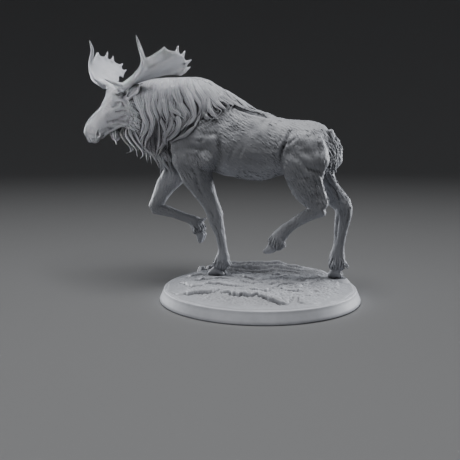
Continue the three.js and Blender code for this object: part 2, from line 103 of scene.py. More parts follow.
def bar(a, b, ra, rb=None):  # round bar, tapering from ra to rb
    a, b = np.array(a, np.float32), np.array(b, np.float32)
    rb = ra if rb is None else rb
    run = b - a
    long = max(float(run @ run), 1e-9)

    def distance(p):
        rel = p - a
        t = np.clip(rel @ run / long, 0, 1)
        rel -= t[:, None] * run
        return np.sqrt((rel * rel).sum(1)) - (ra + (rb - ra) * t)

    return distance, a, b, min(ra, rb), max(ra, rb)


def oval(centre, radii, along=(1, 0, 0), up=(0, 0, 1)):  # radii along, sideways and up
    centre, radii = np.array(centre, np.float32), np.array(radii, np.float32)
    along = unit(np.array(along, float))
    up = unit(np.array(up, float) - along * (along @ np.array(up, float)))
    axes = np.stack([along, np.cross(up, along), up], 1).astype(np.float32)

    def distance(p):
        q = (p - centre) @ axes / radii
        k0 = np.sqrt((q * q).sum(1))
        q /= radii
        k1 = np.sqrt((q * q).sum(1))
        return k0 * (k0 - 1) / np.maximum(k1, 1e-4)

    return distance, centre, centre, radii.min(), radii.max()


def ovalBar(a, b, sizeA, sizeB, side, cap):  # sizes are half depth, half width, narrowing upwards
    along = b - a
    length = np.float32(np.linalg.norm(along))
    along = (along / length).astype(np.float32)
    wideWay = unit(side - along * (side @ along)).astype(np.float32)
    deepWay = np.cross(along, wideWay).astype(np.float32)
    start = np.array(a, np.float32)
    sizeA, sizeB = np.array(sizeA, np.float32), np.array(sizeB, np.float32)

    def distance(p):
        rel = p - start
        s = rel @ along
        t = np.clip(s / length, 0, 1)
        past = s - t * length
        deep, full, narrow = (sizeA[i] + t * (sizeB[i] - sizeA[i]) for i in range(3))
        d = rel @ deepWay / deep
        wide = full * (1 - narrow * np.clip(d, -1, 1))
        w = rel @ wideWay / wide
        least = np.minimum(deep, wide) * cap
        e = past / least
        k0 = np.sqrt(w * w + d * d + e * e)
        k1 = np.sqrt((w / wide) ** 2 + (d / deep) ** 2 + (e / least) ** 2)
        return k0 * (k0 - 1) / np.maximum(k1, 1e-4)

    least = min(sizeA[:2].min(), sizeB[:2].min()) * 0.75
    return distance, a, b, least, max(sizeA[:2].max(), sizeB[:2].max()) * 1.1


def spline(points, steps):  # smooth line through the points, steps to a span
    p = np.array(points, float)
    p = np.vstack([2 * p[0] - p[1], p, 2 * p[-1] - p[-2]])
    t = np.linspace(0, 1, steps, endpoint=False)[:, None]
    out = []
    for p0, p1, p2, p3 in zip(p, p[1:], p[2:], p[3:]):
        out.append(0.5 * (2 * p1 + (p2 - p0) * t + (2 * p0 - 5 * p1 + 4 * p2 - p3) * t * t
                          + (3 * p1 - p0 - 3 * p2 + p3) * t ** 3))
    return np.vstack(out + [p[-2:-1]])


# Rows of a limb are its centre, half depth, half width and how much it narrows upwards.
def limb(rows, steps=3, side=(0, 1, 0), sideEnd=None, cap=0.6, grow=0.0):
    centres = spline([r[0] for r in rows], steps)
    sizes = spline([(r[1] + grow, r[2] + grow, r[3] if len(r) > 3 else 0) for r in rows], steps)
    side = np.array(side, float)
    sideEnd = side if sideEnd is None else np.array(sideEnd, float)
    count = len(centres) - 1
    return [ovalBar(centres[i], centres[i + 1], sizes[i], sizes[i + 1],
                    side + (sideEnd - side) * (i + 0.5) / count, cap) for i in range(count)]


def chain(rows, steps=3):  # round bars through rows of point and radius
    line = spline([(*row[0], row[1]) for row in rows], steps)
    return [bar(a[:3], b[:3], max(a[3], 0.02), max(b[3], 0.02)) for a, b in zip(line, line[1:])]


def headChain(rows, steps=3, hand=1):  # the same on the head, as forward, left, up and radius
    return chain([(onHead(f, l * hand, u), r) for f, l, u, r in rows], steps)


def add(solids, soft=1.0):
    return solids if isinstance(solids, list) else [solids], soft, False


def cut(solids, soft=0.5):
    return solids if isinstance(solids, list) else [solids], soft, True


def fieldAt(forms, near, p):
    total = np.full(len(p), 50.0, np.float32)
    for (solids, soft, isCut), hits in zip(forms, near):
        if not hits:
            continue
        d = solids[hits[0]][0](p)
        for i in hits[1:]:
            d = np.minimum(d, solids[i][0](p))
        total = -softJoin(-total, d, soft) if isCut else softJoin(total, d, soft)
    return total


def sculpted(forms, voxel, block=14):
    solids = [s for form in forms for s in form[0]]
    owner = np.array([i for i, form in enumerate(forms) for _ in form[0]])
    firsts = np.searchsorted(owner, np.arange(len(forms)))
    a, b = (np.array([s[i] for s in solids]) for i in (1, 2))
    least, most = (np.array([s[i] for s in solids]) for i in (3, 4))
    soft = np.array([forms[i][1] for i in owner])
    isCut = np.array([forms[i][2] for i in owner])
    run = b - a
    long = np.maximum((run * run).sum(1), 1e-9)
    low = (np.minimum(a, b) - most[:, None])[~isCut].min(0) - 4 * voxel
    high = (np.maximum(a, b) + most[:, None])[~isCut].max(0) + 4 * voxel
    count = np.ceil((high - low) / voxel / block).astype(int)
    band = 3 * voxel
    field = np.full(count * block, band, np.float32)
    cube = np.stack(np.meshgrid(*[np.arange(block)] * 3, indexing="ij"), -1).reshape(-1, 3) * voxel
    half = block * voxel / 2
    reach = half * math.sqrt(3)

    def fillBlock(cell):
        start = low + np.array(cell) * block * voxel
        rel = start + half - a
        rel -= np.clip((rel * run).sum(1) / long, 0, 1)[:, None] * run
        away = np.sqrt((rel * rel).sum(1))
        close = away - most - reach < soft + band
        if not (close & ~isCut).any():
            return
        where = tuple(slice(c * block, (c + 1) * block) for c in cell)
        deep = away - least + reach
        if deep[~isCut].min() < -band and not (close & isCut).any():
            field[where] = -band
            return
        surest = np.minimum.reduceat(deep, firsts)  # leaves out what is far behind the nearest one
        close &= away - most - reach <= surest[owner]
        near = [[] for form in forms]
        for i in np.flatnonzero(close):
            near[owner[i]].append(i - firsts[owner[i]])
        values = fieldAt(forms, near, (start + cube).astype(np.float32))
        field[where] = np.clip(values, -band, band).reshape(block, block, block)

    for cell in np.ndindex(*count):
        fillBlock(cell)
    grid = openvdb.FloatGrid(background=band)
    grid.copyFromArray(field)
    points, _, quads = grid.convertToPolygons(isovalue=0.0, adaptivity=0.0)
    return low + points * voxel, quads.astype(np.int64)


def normalsOf(points, faces):
    a, b, c, d = (points[faces[:, i]] for i in range(4))
    way = np.cross(c - a, d - b)
    total = np.zeros_like(points)
    for i in range(4):
        np.add.at(total, faces[:, i], way)
    return units(total)


def biggestPart(points, faces):  # drops stray crumbs of a sculpted mesh
    label = np.arange(len(points))
    while True:
        fresh = label.copy()
        for i in range(4):
            np.minimum.at(fresh, label[faces[:, i]], label[faces].min(1))
        fresh = fresh[fresh[fresh]]
        if (fresh == label).all():
            break
        label = fresh
    keep = label == np.bincount(label).argmax()
    index = np.cumsum(keep) - 1
    return points[keep], index[faces[keep[faces[:, 0]]]]


def smoothed(points, faces, rounds, strength=0.5):
    for _ in range(rounds):
        total = np.zeros_like(points)
        number = np.zeros(len(points))
        for i in range(4):
            np.add.at(total, faces[:, i], points[faces[:, (i + 1) % 4]])
            np.add.at(total, faces[:, i], points[faces[:, (i + 3) % 4]])
            np.add.at(number, faces[:, i], 2)
        points = points + strength * (total / number[:, None] - points)
    return points


def treeOf(points):  # finds the nearest of the points
    tree = KDTree(len(points))
    for n, p in enumerate(points.tolist()):
        tree.insert(p, n)
    tree.balance()
    return tree


def besideLine(x, y, line):  # distance to a line, below zero on its right, and how far along it
    away = np.full(len(x), 1e9)
    hand = np.ones(len(x))
    along = np.zeros(len(x))
    for i, (a, b) in enumerate(zip(line, line[1:])):
        run = (b[0] - a[0], b[1] - a[1])
        t = np.clip(((x - a[0]) * run[0] + (y - a[1]) * run[1]) / (run[0] ** 2 + run[1] ** 2), 0, 1)
        dx, dy = x - a[0] - t * run[0], y - a[1] - t * run[1]
        d = np.hypot(dx, dy)
        nearer = d < away
        away = np.where(nearer, d, away)
        hand = np.where(nearer, np.sign(run[0] * dy - run[1] * dx), hand)
        along = np.where(nearer, (i + t) / (len(line) - 1), along)
    return away * hand, along


def ringFaces(rings, sides, flip=False):  # quads between rings of points, each ring closed
    index = np.arange(rings * sides).reshape(rings, sides)
    after = np.roll(index, -1, axis=1)
    faces = np.stack([index[:-1], after[:-1], after[1:], index[1:]], -1).reshape(-1, 4)
    return faces[:, [0, 3, 2, 1]] if flip else faces


def lathe(profile, sides):  # rows of radius and height, turned round the upright axis
    angle = 2 * math.pi * np.arange(sides) / sides
    points = [[r * math.cos(a), r * math.sin(a), z] for r, z in profile for a in angle]
    return np.array(points), ringFaces(len(profile), sides)


# Soft random values over space, the same each run.
lattice = np.random.default_rng(11).random((32, 32, 32)).astype(np.float32)


def noiseAt(p, size, shift=0.0):
    q = p / size + shift * 7.3
    cell = np.floor(q).astype(int)
    f = q - cell
    f = f * f * (3 - 2 * f)
    total = np.zeros(len(p))
    for corner in np.ndindex(2, 2, 2):
        i = (cell + corner) % 32
        weight = np.prod(np.where(corner, f, 1 - f), axis=1)
        total += weight * lattice[i[:, 0], i[:, 1], i[:, 2]]
    return total * 2 - 1


def meshObject(name, points, faces, material):
    faces = np.asarray(faces)
    mesh = bpy.data.meshes.new(name)
    mesh.vertices.add(len(points))
    mesh.vertices.foreach_set("co", (np.asarray(points) * mm).astype(np.float32).ravel())
    mesh.loops.add(faces.size)
    mesh.loops.foreach_set("vertex_index", faces.astype(np.int32).ravel())
    mesh.polygons.add(len(faces))
    mesh.polygons.foreach_set("loop_start", np.arange(len(faces), dtype=np.int32) * faces.shape[1])
    mesh.update(calc_edges=True)
    mesh.polygons.foreach_set("use_smooth", np.ones(len(faces), bool))
    mesh.validate()
    mesh.materials.append(material)
    made = bpy.data.objects.new(name, mesh)
    bpy.context.scene.collection.objects.link(made)
    return made


def castPiece(name, points, faces, slot, nodes, material):  # a piece of the one rigid casting
    piece = meshObject(name, points, faces, material)
    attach(piece, "root")
    if nodes:
        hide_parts(*nodes)
    return piece


# Materials: one matte grey resin, a little finer or coarser on each kind of surface.

resinLook = {
    "tone": (0.46, 0.47, 0.505),
    "shade": (0.38, 0.39, 0.42),
    "clouds": 260.0,  # how fine the change between the two is
    "hollow": 0.42,  # how dark the painted shade is down in the grooves
    "reach": 0.0035,  # how wide a hollow still gets painted shade
    "roughness": 0.55,
    "gloss": 0.35,
}


def grey(value):
    return value, value, value, 1


# hollow sets how dark the painted shade in grooves and shut-in places is; dim darkens the whole colour
def resin(name, grain, grainHeight, hollow=resinLook["hollow"], roughness=resinLook["roughness"], dim=1.0,
          hairs=0.0):
    material = bpy.data.materials.new(name)
    material.use_nodes = True
    tree = material.node_tree
    shader = tree.nodes["Principled BSDF"]
    shader.inputs["Roughness"].default_value = roughness
    shader.inputs["Specular IOR Level"].default_value = resinLook["gloss"]

    def node(kind, links=(), **settings):
        made = tree.nodes.new(kind)
        for key, value in settings.items():
            made.inputs[key].default_value = value
        for key, source in links:
            tree.links.new(source, made.inputs[key])
        return made

    def ramp(source, *stops):  # stops are a place and its colour
        made = node("ShaderNodeValToRGB", [("Fac", source)])
        for element, (place, colour) in zip(made.color_ramp.elements, (stops[0], stops[-1])):
            element.position = place
            element.color = colour
        for place, colour in stops[1:-1]:
            made.color_ramp.elements.new(place).color = colour
        return made.outputs["Color"]

    def multiplied(a, b):
        made = tree.nodes.new("ShaderNodeMix")
        made.data_type = "RGBA"
        made.blend_type = "MULTIPLY"
        made.inputs["Factor"].default_value = 1
        tree.links.new(a, made.inputs["A"])
        tree.links.new(b, made.inputs["B"])
        return made.outputs["Result"]

    place = tree.nodes.new("ShaderNodeTexCoord").outputs["Object"]
    cloud = node("ShaderNodeTexNoise", [("Vector", place)], Scale=resinLook["clouds"], Detail=4.0,
                 Roughness=0.6)
    speck = node("ShaderNodeTexNoise", [("Vector", place)], Scale=grain, Detail=3.0, Roughness=0.55)
    shade, tone = ([c * dim for c in resinLook[key]] + [1] for key in ("shade", "tone"))
    tint = ramp(cloud.outputs["Fac"], (0.3, shade), (0.7, tone))

    # painted shade in the grooves, by how sharply the surface bends in, and in what is shut in on all sides;
    # a painted highlight on sharp outward edges
    around = tree.nodes.new("ShaderNodeNewGeometry")
    groove = ramp(around.outputs["Pointiness"], (0.43, grey(hollow)), (0.5, grey(0.73 + 0.27 * hollow)),
                  (0.56, grey(1)))
    closed = node("ShaderNodeAmbientOcclusion", Distance=resinLook["reach"])
    closed.samples = 8
    # the colour of the deepest painted shade, in places shut in on all sides
    deepestPaintedShade = (hollow * 0.6, hollow * 0.6, hollow * 0.62, 1)
    depth = ramp(closed.outputs["AO"], (0.15, deepestPaintedShade), (0.85, grey(1)))
    tree.links.new(multiplied(multiplied(tint, groove), depth), shader.inputs["Base Color"])

    bump = node("ShaderNodeBump", [("Height", speck.outputs["Fac"])], Strength=0.5, Distance=grainHeight * mm)
    if hairs:  # fine lines that run along each lock
        chart = tree.nodes.new("ShaderNodeUVMap")
        chart.uv_map = "OFBake"
        lines = node("ShaderNodeTexWave", [("Vector", chart.outputs["UV"])], Scale=1250.0, Distortion=2.0,
                     Detail=2.0)
        bump = node("ShaderNodeBump", [("Height", lines.outputs["Fac"]), ("Normal", bump.outputs["Normal"])],
                    Strength=0.6, Distance=hairs * mm)
    tree.links.new(bump.outputs["Normal"], shader.inputs["Normal"])
    return material


# the short coat is painted a little darker all over, as painted shade for its flanks
furResin = resin("shortFurResin", 2600, 0.05, hollow=0.27, dim=0.88)
hairResin = resin("longHairResin", 3000, 0.03, hollow=0.25, hairs=0.06)
antlerResin = resin("antlerResin", 1500, 0.03, hollow=1.0, dim=0.86)
hoofResin = resin("hoofResin", 2200, 0.03)
# the eye is painted dark all over, as painted shade for its recess
eyeResin = resin("eyeResin", 4000, 0.01, roughness=0.35, dim=0.6)
groundResin = resin("groundResin", 1900, 0.06, hollow=0.3)
baseResin = resin("baseResin", 900, 0.012, hollow=0.8, roughness=0.5)


# The skin: trunk, neck, head with ears, tail and legs as one body.

skin = {
    "voxel": 0.145,
    # how softly each leg joins the body, and each folded cannon its leg
    "legJoins": {"foreLeft": 1.2, "foreRight": 1.2, "foreRightCannon": 0.4, "hindLeft": 1.3,
                 "hindLeftCannon": 0.4, "hindRight": 1.3},
    "trunk": [
        (onBody(-23.4, 0, 44.2), 6.6, 4.2, 0.1),  # breast
        (onBody(-20.4, 0, 43.6), 10.2, 5.6, 0.25),  # withers
        (onBody(-15, 0, 42.2), 10.2, 6.3, 0.3),
        (onBody(-8, 0, 39.1), 9.2, 7.0, 0.2),  # ribs
        (onBody(-1.5, 0, 37.7), 8.3, 7.1, 0.1),  # belly
        (onBody(5, 0, 37.6), 6.7, 6.1, 0.1),  # flank
        (onBody(10.2, 0, 37.4), 6.5, 5.9, 0.15),  # hips
        (onBody(13.4, 0, 37.2), 5.9, 5.0, 0.15),  # rump
        (onBody(14.8, 0, 37.5), 4.7, 3.4, 0.1),
    ],
    "neck": [
        (onBody(-17.5, 0, 45.5), 8.4, 4.6, 0.3),
        (vec(-24, 5.2, 46.2), 8.4, 4.3, 0.3),
        (vec(-29.8, 3.4, 46.9), 7.2, 3.9, 0.3),
        (vec(-34.4, 0.9, 47.6), 5.7, 3.6),
        (vec(-37, -1, 48.6), 4.0, 3.0),
    ],
    "maneCore": [
        (vec(-34.6, 0.9, 50.6), 2.1, 2.3, 0.3),
        (vec(-30, 3.6, 50.2), 4.3, 3.9, 0.5),
        (vec(-24.5, 5.3, 49.4), 5.3, 4.9, 0.55),
        (onBody(-19, 0, 48.6), 6.1, 5.3, 0.55),
        (onBody(-13.6, 0, 47.4), 4.6, 4.6, 0.5),
        (onBody(-8.2, 0, 46.4), 2.1, 3.0, 0.4),
        (onBody(-2, 0, 45.5), 0.9, 1.6),
        (onBody(4, 0, 44.2), 0.5, 0.6),
    ],
    "throatCore": [
        (vec(-35.8, -0.4, 43.4), 1.0, 0.7),
        (vec(-33.2, 1.3, 40.9), 2.4, 1.0),
        (vec(-30.0, 3.1, 38.8), 3.4, 1.4),
        (vec(-27, 4.6, 36.8), 3.6, 1.6),
        (vec(-25.2, 5.4, 34.8), 2.6, 1.3),
    ],
    "tail": [
        (onBody(16.0, 0, 41.4), 0.7, 0.8),
        (onBody(16.8, -0.1, 38.4), 0.75, 0.8),
        (onBody(16.8, -0.2, 35.0), 0.7, 0.75),
        (onBody(16.6, -0.2, 32.8), 0.5, 0.55),
    ],
}

legRows = {
    "foreLeft": [
        (onBody(-17.8, -4.2, 47.0), 2.4, 0.9),  # shoulder blade
        (onBody(-18.6, -4.8, 42.0), 5.0, 2.5),
        (onBody(-18.3, -4.5, 36.0), 5.5, 2.9),  # shoulder and elbow
        (onBody(-17.6, -4.3, 32.0), 4.4, 2.7),
        (onBody(-15.9, -4.1, 27.4), 3.2, 2.1),  # forearm
        (onBody(-14.0, -3.9, 23.7), 2.3, 1.7),
        (onBody(-12.6, -3.8, 20.6), 2.0, 1.65),  # knee
        (onBody(-12.2, -3.7, 18.6), 1.75, 1.45),
        (onBody(-11.2, -3.6, 15.4), 1.2, 1.1),  # cannon
        (onBody(-10.5, -3.5, 11.6), 1.15, 1.1),
        (onBody(-10.5, -3.5, 9.2), 1.75, 1.5),  # fetlock
        (onBody(-11.3, -3.5, 7.4), 1.7, 1.6),
    ],
    "foreRight": [
        (onBody(-17.8, 4.2, 47.0), 2.4, 0.9),
        (onBody(-19.6, 4.8, 41.5), 5.0, 2.5),
        (onBody(-22.4, 4.6, 36.0), 5.2, 2.8),
        (onBody(-26.0, 4.2, 31.4), 3.6, 2.5),
        (onBody(-29.2, 4.0, 27.2), 2.65, 2.0),
        (onBody(-31.5, 3.9, 23.4), 2.0, 1.65),
        (onBody(-32.7, 3.9, 20.9), 1.85, 1.6),  # folded knee
    ],
    "foreRightCannon": [
        (onBody(-32.6, 3.9, 20.6), 1.6, 1.5),
        (onBody(-29.2, 3.8, 19.9), 1.35, 1.2),
        (onBody(-25.4, 3.7, 18.8), 1.15, 1.05),
        (onBody(-22.4, 3.6, 17.9), 1.25, 1.1),
        (onBody(-20.5, 3.6, 16.9), 1.75, 1.5),
        (onBody(-19.8, 3.6, 15.2), 1.6, 1.5),
    ],
    "hindLeft": [
        (onBody(10.5, -3.5, 41.2), 2.8, 1.1),  # hip
        (onBody(10.6, -4.2, 37.0), 5.0, 2.6),
        (onBody(10.6, -4.3, 32.6), 5.1, 2.8),  # thigh
        (onBody(11.2, -4.3, 28.6), 4.0, 2.4),  # stifle to gaskin
        (onBody(13.4, -4.3, 25.2), 3.0, 1.8),
        (onBody(14.6, -4.3, 23.1), 2.2, 1.5),  # hock
    ],
    "hindLeftCannon": [
        (onBody(14.8, -4.3, 22.8), 1.9, 1.5),
        (onBody(11.6, -4.3, 21.1), 1.45, 1.25),
        (onBody(8.2, -4.3, 18.9), 1.15, 1.1),  # cannon
        (onBody(6.0, -4.3, 17.2), 1.45, 1.3),
        (onBody(4.4, -4.3, 15.2), 1.85, 1.5),  # fetlock
        (onBody(3.6, -4.3, 13.6), 1.7, 1.5),
    ],
    "hindRight": [
        (onBody(10.8, 3.5, 41.2), 2.8, 1.1),
        (onBody(12.3, 4.0, 37.4), 5.7, 2.7),
        (onBody(12.4, 4.1, 34.4), 5.4, 2.8),  # buttock
        (onBody(12.4, 4.1, 31.4), 4.1, 2.7),
        (onBody(13.6, 3.9, 28.4), 3.4, 2.3),
        (onBody(17.0, 3.7, 25.0), 2.5, 1.7),
        (onBody(19.1, 3.6, 22.6), 2.15, 1.5),  # hock
        (onBody(18.9, 3.5, 18.2), 1.75, 1.3),
        (onBody(18.3, 3.5, 13.0), 1.3, 1.15),
        (onBody(17.9, 3.5, 9.8), 1.95, 1.5),  # fetlock
        (onBody(18.0, 3.5, 7.6), 1.75, 1.55),
    ],
}

headRows = [
    (onHead(-2.4, 0, -3.2), 3.0, 2.5),
    (onHead(-0.05, 0, -4.35), 3.85, 2.8, -0.1),  # forehead and jaw angle
    (onHead(2.45, 0, -6.8), 3.25, 2.3, 0.15),  # cheek
    (onHead(4.75, 0, -8.35), 3.0, 1.9, 0.22),  # bridge of the nose
    (onHead(6.35, 0, -9.95), 2.85, 2.05, 0.15),
    (onHead(7.3, 0, -11.4), 2.25, 2.1, 0.05),  # overhanging upper lip
]

eye = {"at": (0.45, 2.3, -0.85), "radius": 0.72, "rings": 16, "sides": 24}  # in the head's axes

# Muscles that stand out: centre as x, out from the middle, z; half length, thickness and height; lean.
muscles = [
    ((-13.6, 5.0, 39.0), (2.8, 1.9, 2.6), 0.3),  # behind the shoulder blade
    ((-14.0, 5.75, 34.2), (2.4, 1.9, 2.1), -0.2),  # elbow
    ((-19.6, 5.7, 34.6), (3.4, 1.9, 2.9), 0.5),  # point of the shoulder
    ((-18.4, 5.3, 40.6), (3.8, 1.9, 2.9), -0.4),
    ((-17.4, 4.9, 29.6), (1.5, 1.3, 3.2), 1.9),  # forearm
]
thighMuscles = [
    ((10.2, 4.9, 38.0), (4.0, 1.9, 2.6), -0.15),
    ((8.8, 5.4, 33.4), (3.2, 1.8, 2.6), 0.9),
    ((13.2, 4.9, 34.8), (2.2, 1.7, 3.2), 1.3),
]

dewclaws = [  # fetlock, out from the middle, z, and the way they point
    ((-8.9, -3.5, 8.0), (0.7, 0, -0.75)),
    ((-18.6, 3.6, 17.9), (0.75, 0, 0.45)),
    ((5.6, -4.3, 14.1), (0.6, 0, -0.8)),
    ((19.9, 3.5, 8.2), (0.7, 0, -0.75)),
]


def headSide(hand):  # places on the head, mirrored to its right when hand is -1
    return lambda forward, left, up: onHead(forward, left * hand, up)


def earForms(hand):
    on = headSide(hand)
    wideWay = 0.5 * ahead - 0.67 * hand * headLeft + 0.54 * headUp
    opening = 0.66 * ahead + 0.73 * hand * headLeft + 0.18 * headUp
    shell = [
        (on(-0.8, 2.4, -2.4), 0.45, 0.6),
        (on(-1.0, 3.6, -1.7), 0.5, 0.8),
        (on(-1.25, 5.0, -0.4), 0.48, 1.2),
        (on(-1.7, 6.2, 0.55), 0.38, 1.0),
        (on(-2.2, 7.1, 1.5), 0.15, 0.2),
    ]
    cup = [
        (on(-1.0, 3.6, -1.6) + opening * 0.45, 0.2, 0.3),
        (on(-1.2, 5.0, -0.4) + opening * 0.45, 0.32, 0.72),
        (on(-1.65, 6.2, 0.55) + opening * 0.38, 0.22, 0.5),
    ]
    return [
        add(limb(shell, 4, side=wideWay, cap=0.8), 0.4),
        cut(limb(cup, 4, side=wideWay, cap=0.8), 0.15),
    ]


# Lines of the face: forward, left and up from the forehead, then the radius.
faceLines = {
    "cheekbone": [(0.6, 1.9, -3.6, 0.65), (2.2, 1.8, -4.7, 0.55), (4.2, 1.4, -6.5, 0.4)],
    "jawLine": [(-1.6, 1.9, -8.4, 0.7), (1.2, 1.6, -9.2, 0.7), (4.0, 1.0, -10.9, 0.55)],
    "nostril": [(6.2, 2.15, -9.2, 0.08), (6.6, 2.2, -9.9, 0.12), (6.95, 2.15, -10.5, 0.17),
                (6.95, 2.1, -11.1, 0.3), (6.75, 2.0, -11.6, 0.26)],
    "wing": [(7.35, 2.0, -10.6, 0.2), (7.5, 1.85, -11.3, 0.28), (7.1, 1.8, -12.0, 0.28),
             (6.4, 1.9, -11.9, 0.24), (6.2, 2.1, -11.0, 0.2)],
    "antlerStalk": [(0.1, 1.0, -0.6, 0.8), (0.2, 2.7, 0.5, 0.95)],
    "lipGroove": [(7.9, 0, -10.6, 0.14), (8.0, 0, -12.0, 0.2), (7.0, 0, -13.6, 0.25)],
}


def eyelids():  # the upper and the lower one, bowed round the eye
    f, l, u = eye["at"]
    bow = (-1, -0.5, 0, 0.5, 1)
    upper = [(f + q, l + 0.66 - 0.42 * q * q - 0.06 * q, u + 0.46 - 0.5 * q * q - 0.1 * q, 0.24) for q in bow]
    lower = [(f + q * 0.95, l + 0.56 - 0.36 * q * q - 0.06 * q, u - 0.5 + 0.42 * q * q - 0.1 * q, 0.16)
             for q in bow]
    return upper, lower


def faceForms(hand):
    on = headSide(hand)
    f, l, u = eye["at"]
    upperLid, lowerLid = eyelids()

    def swell(place, radii, lean=0.0):  # an oval whose long way points ahead and down
        return oval(on(*place), radii, ahead - lean * headUp, headUp)

    def line(key, steps=3):
        return headChain(faceLines[key], steps, hand)

    return [
        add(swell((0.7, 1.5, -0.6), (1.6, 1.1, 0.9)), 1.1),  # brow
        add(swell((1.2, 0.7, -2.3), (1.5, 1.4, 1.5)), 0.8),  # forehead
        add(swell((-0.7, 1.75, -6.2), (2.3, 1.15, 2.7), 0.6), 0.8),  # jaw muscle
        add(line("cheekbone"), 1.2),
        cut(swell((3.3, 2.8, -3.3), (1.1, 0.4, 0.6), 0.8), 0.7),  # below the eye
        add(line("jawLine"), 0.7),
        add(swell((6.8, 1.25, -10.6), (1.45, 0.95, 1.6), 1), 0.5),  # side of the nose
        add(swell((6.85, 1.0, -12.25), (1.35, 1.05, 1.05), 1), 0.35),  # lip lobe
        cut(swell((f, l + 0.6, u), (1.15, 0.5, 0.7)), 0.35),  # socket
        add(line("wing", 2), 0.25),
        cut(line("nostril"), 0.16),
        add(headChain(upperLid, 2, hand), 0.2),
        add(headChain(lowerLid, 2, hand), 0.16),
        cut(swell((f, l + 0.62, u - 0.04), (0.82, 0.5, 0.27), 0.1), 0.1),  # opening between the lids
        add(line("antlerStalk"), 0.5),
    ]


def muscleForms():
    forms = []
    for side in (-1, 1):
        for rows, shift in ((muscles, 0), (thighMuscles, 0.9 * (side + 1))):
            for (x, out, z), radii, lean in rows:
                along = (math.cos(lean), 0, math.sin(lean))
                centre = onBody(x + shift, out * side, z)
                forms.append(add(oval(centre, radii, along), 1.3))
    for (x, out, z), way in dewclaws:
        for side in (-0.62, 0.62):
            root, way = onBody(x, out + side, z), vec(*way)
            forms.append(add(bar(root - way * 0.6, root + way * 0.75, 0.48, 0.2), 0.3))
    return forms


def skinForms():
    forms = [
        add(limb(skin["trunk"]), 0.5),
        add(limb(skin["neck"], sideEnd=-headLeft, grow=-0.45), 2.0),
    ]
    forms += [add(limb(legRows[leg]), soft) for leg, soft in skin["legJoins"].items()]
    forms += [
        *muscleForms(),
        add(limb(skin["maneCore"], grow=-0.4), 1.0),
        add(limb(skin["throatCore"], sideEnd=-headLeft, grow=-0.3), 1.0),
        add(limb(skin["tail"]), 0.35),
        add(limb(headRows, 4, side=headLeft), 1.0),
        add(oval(onHead(4.9, 0, -11.7), (1.2, 1.15, 0.7), ahead, headUp), 0.4),  # chin
    ]
    for hand in (1, -1):
        forms += faceForms(hand)
        forms += earForms(hand)
    forms.append(cut(headChain(faceLines["lipGroove"]), 0.3))
    return forms


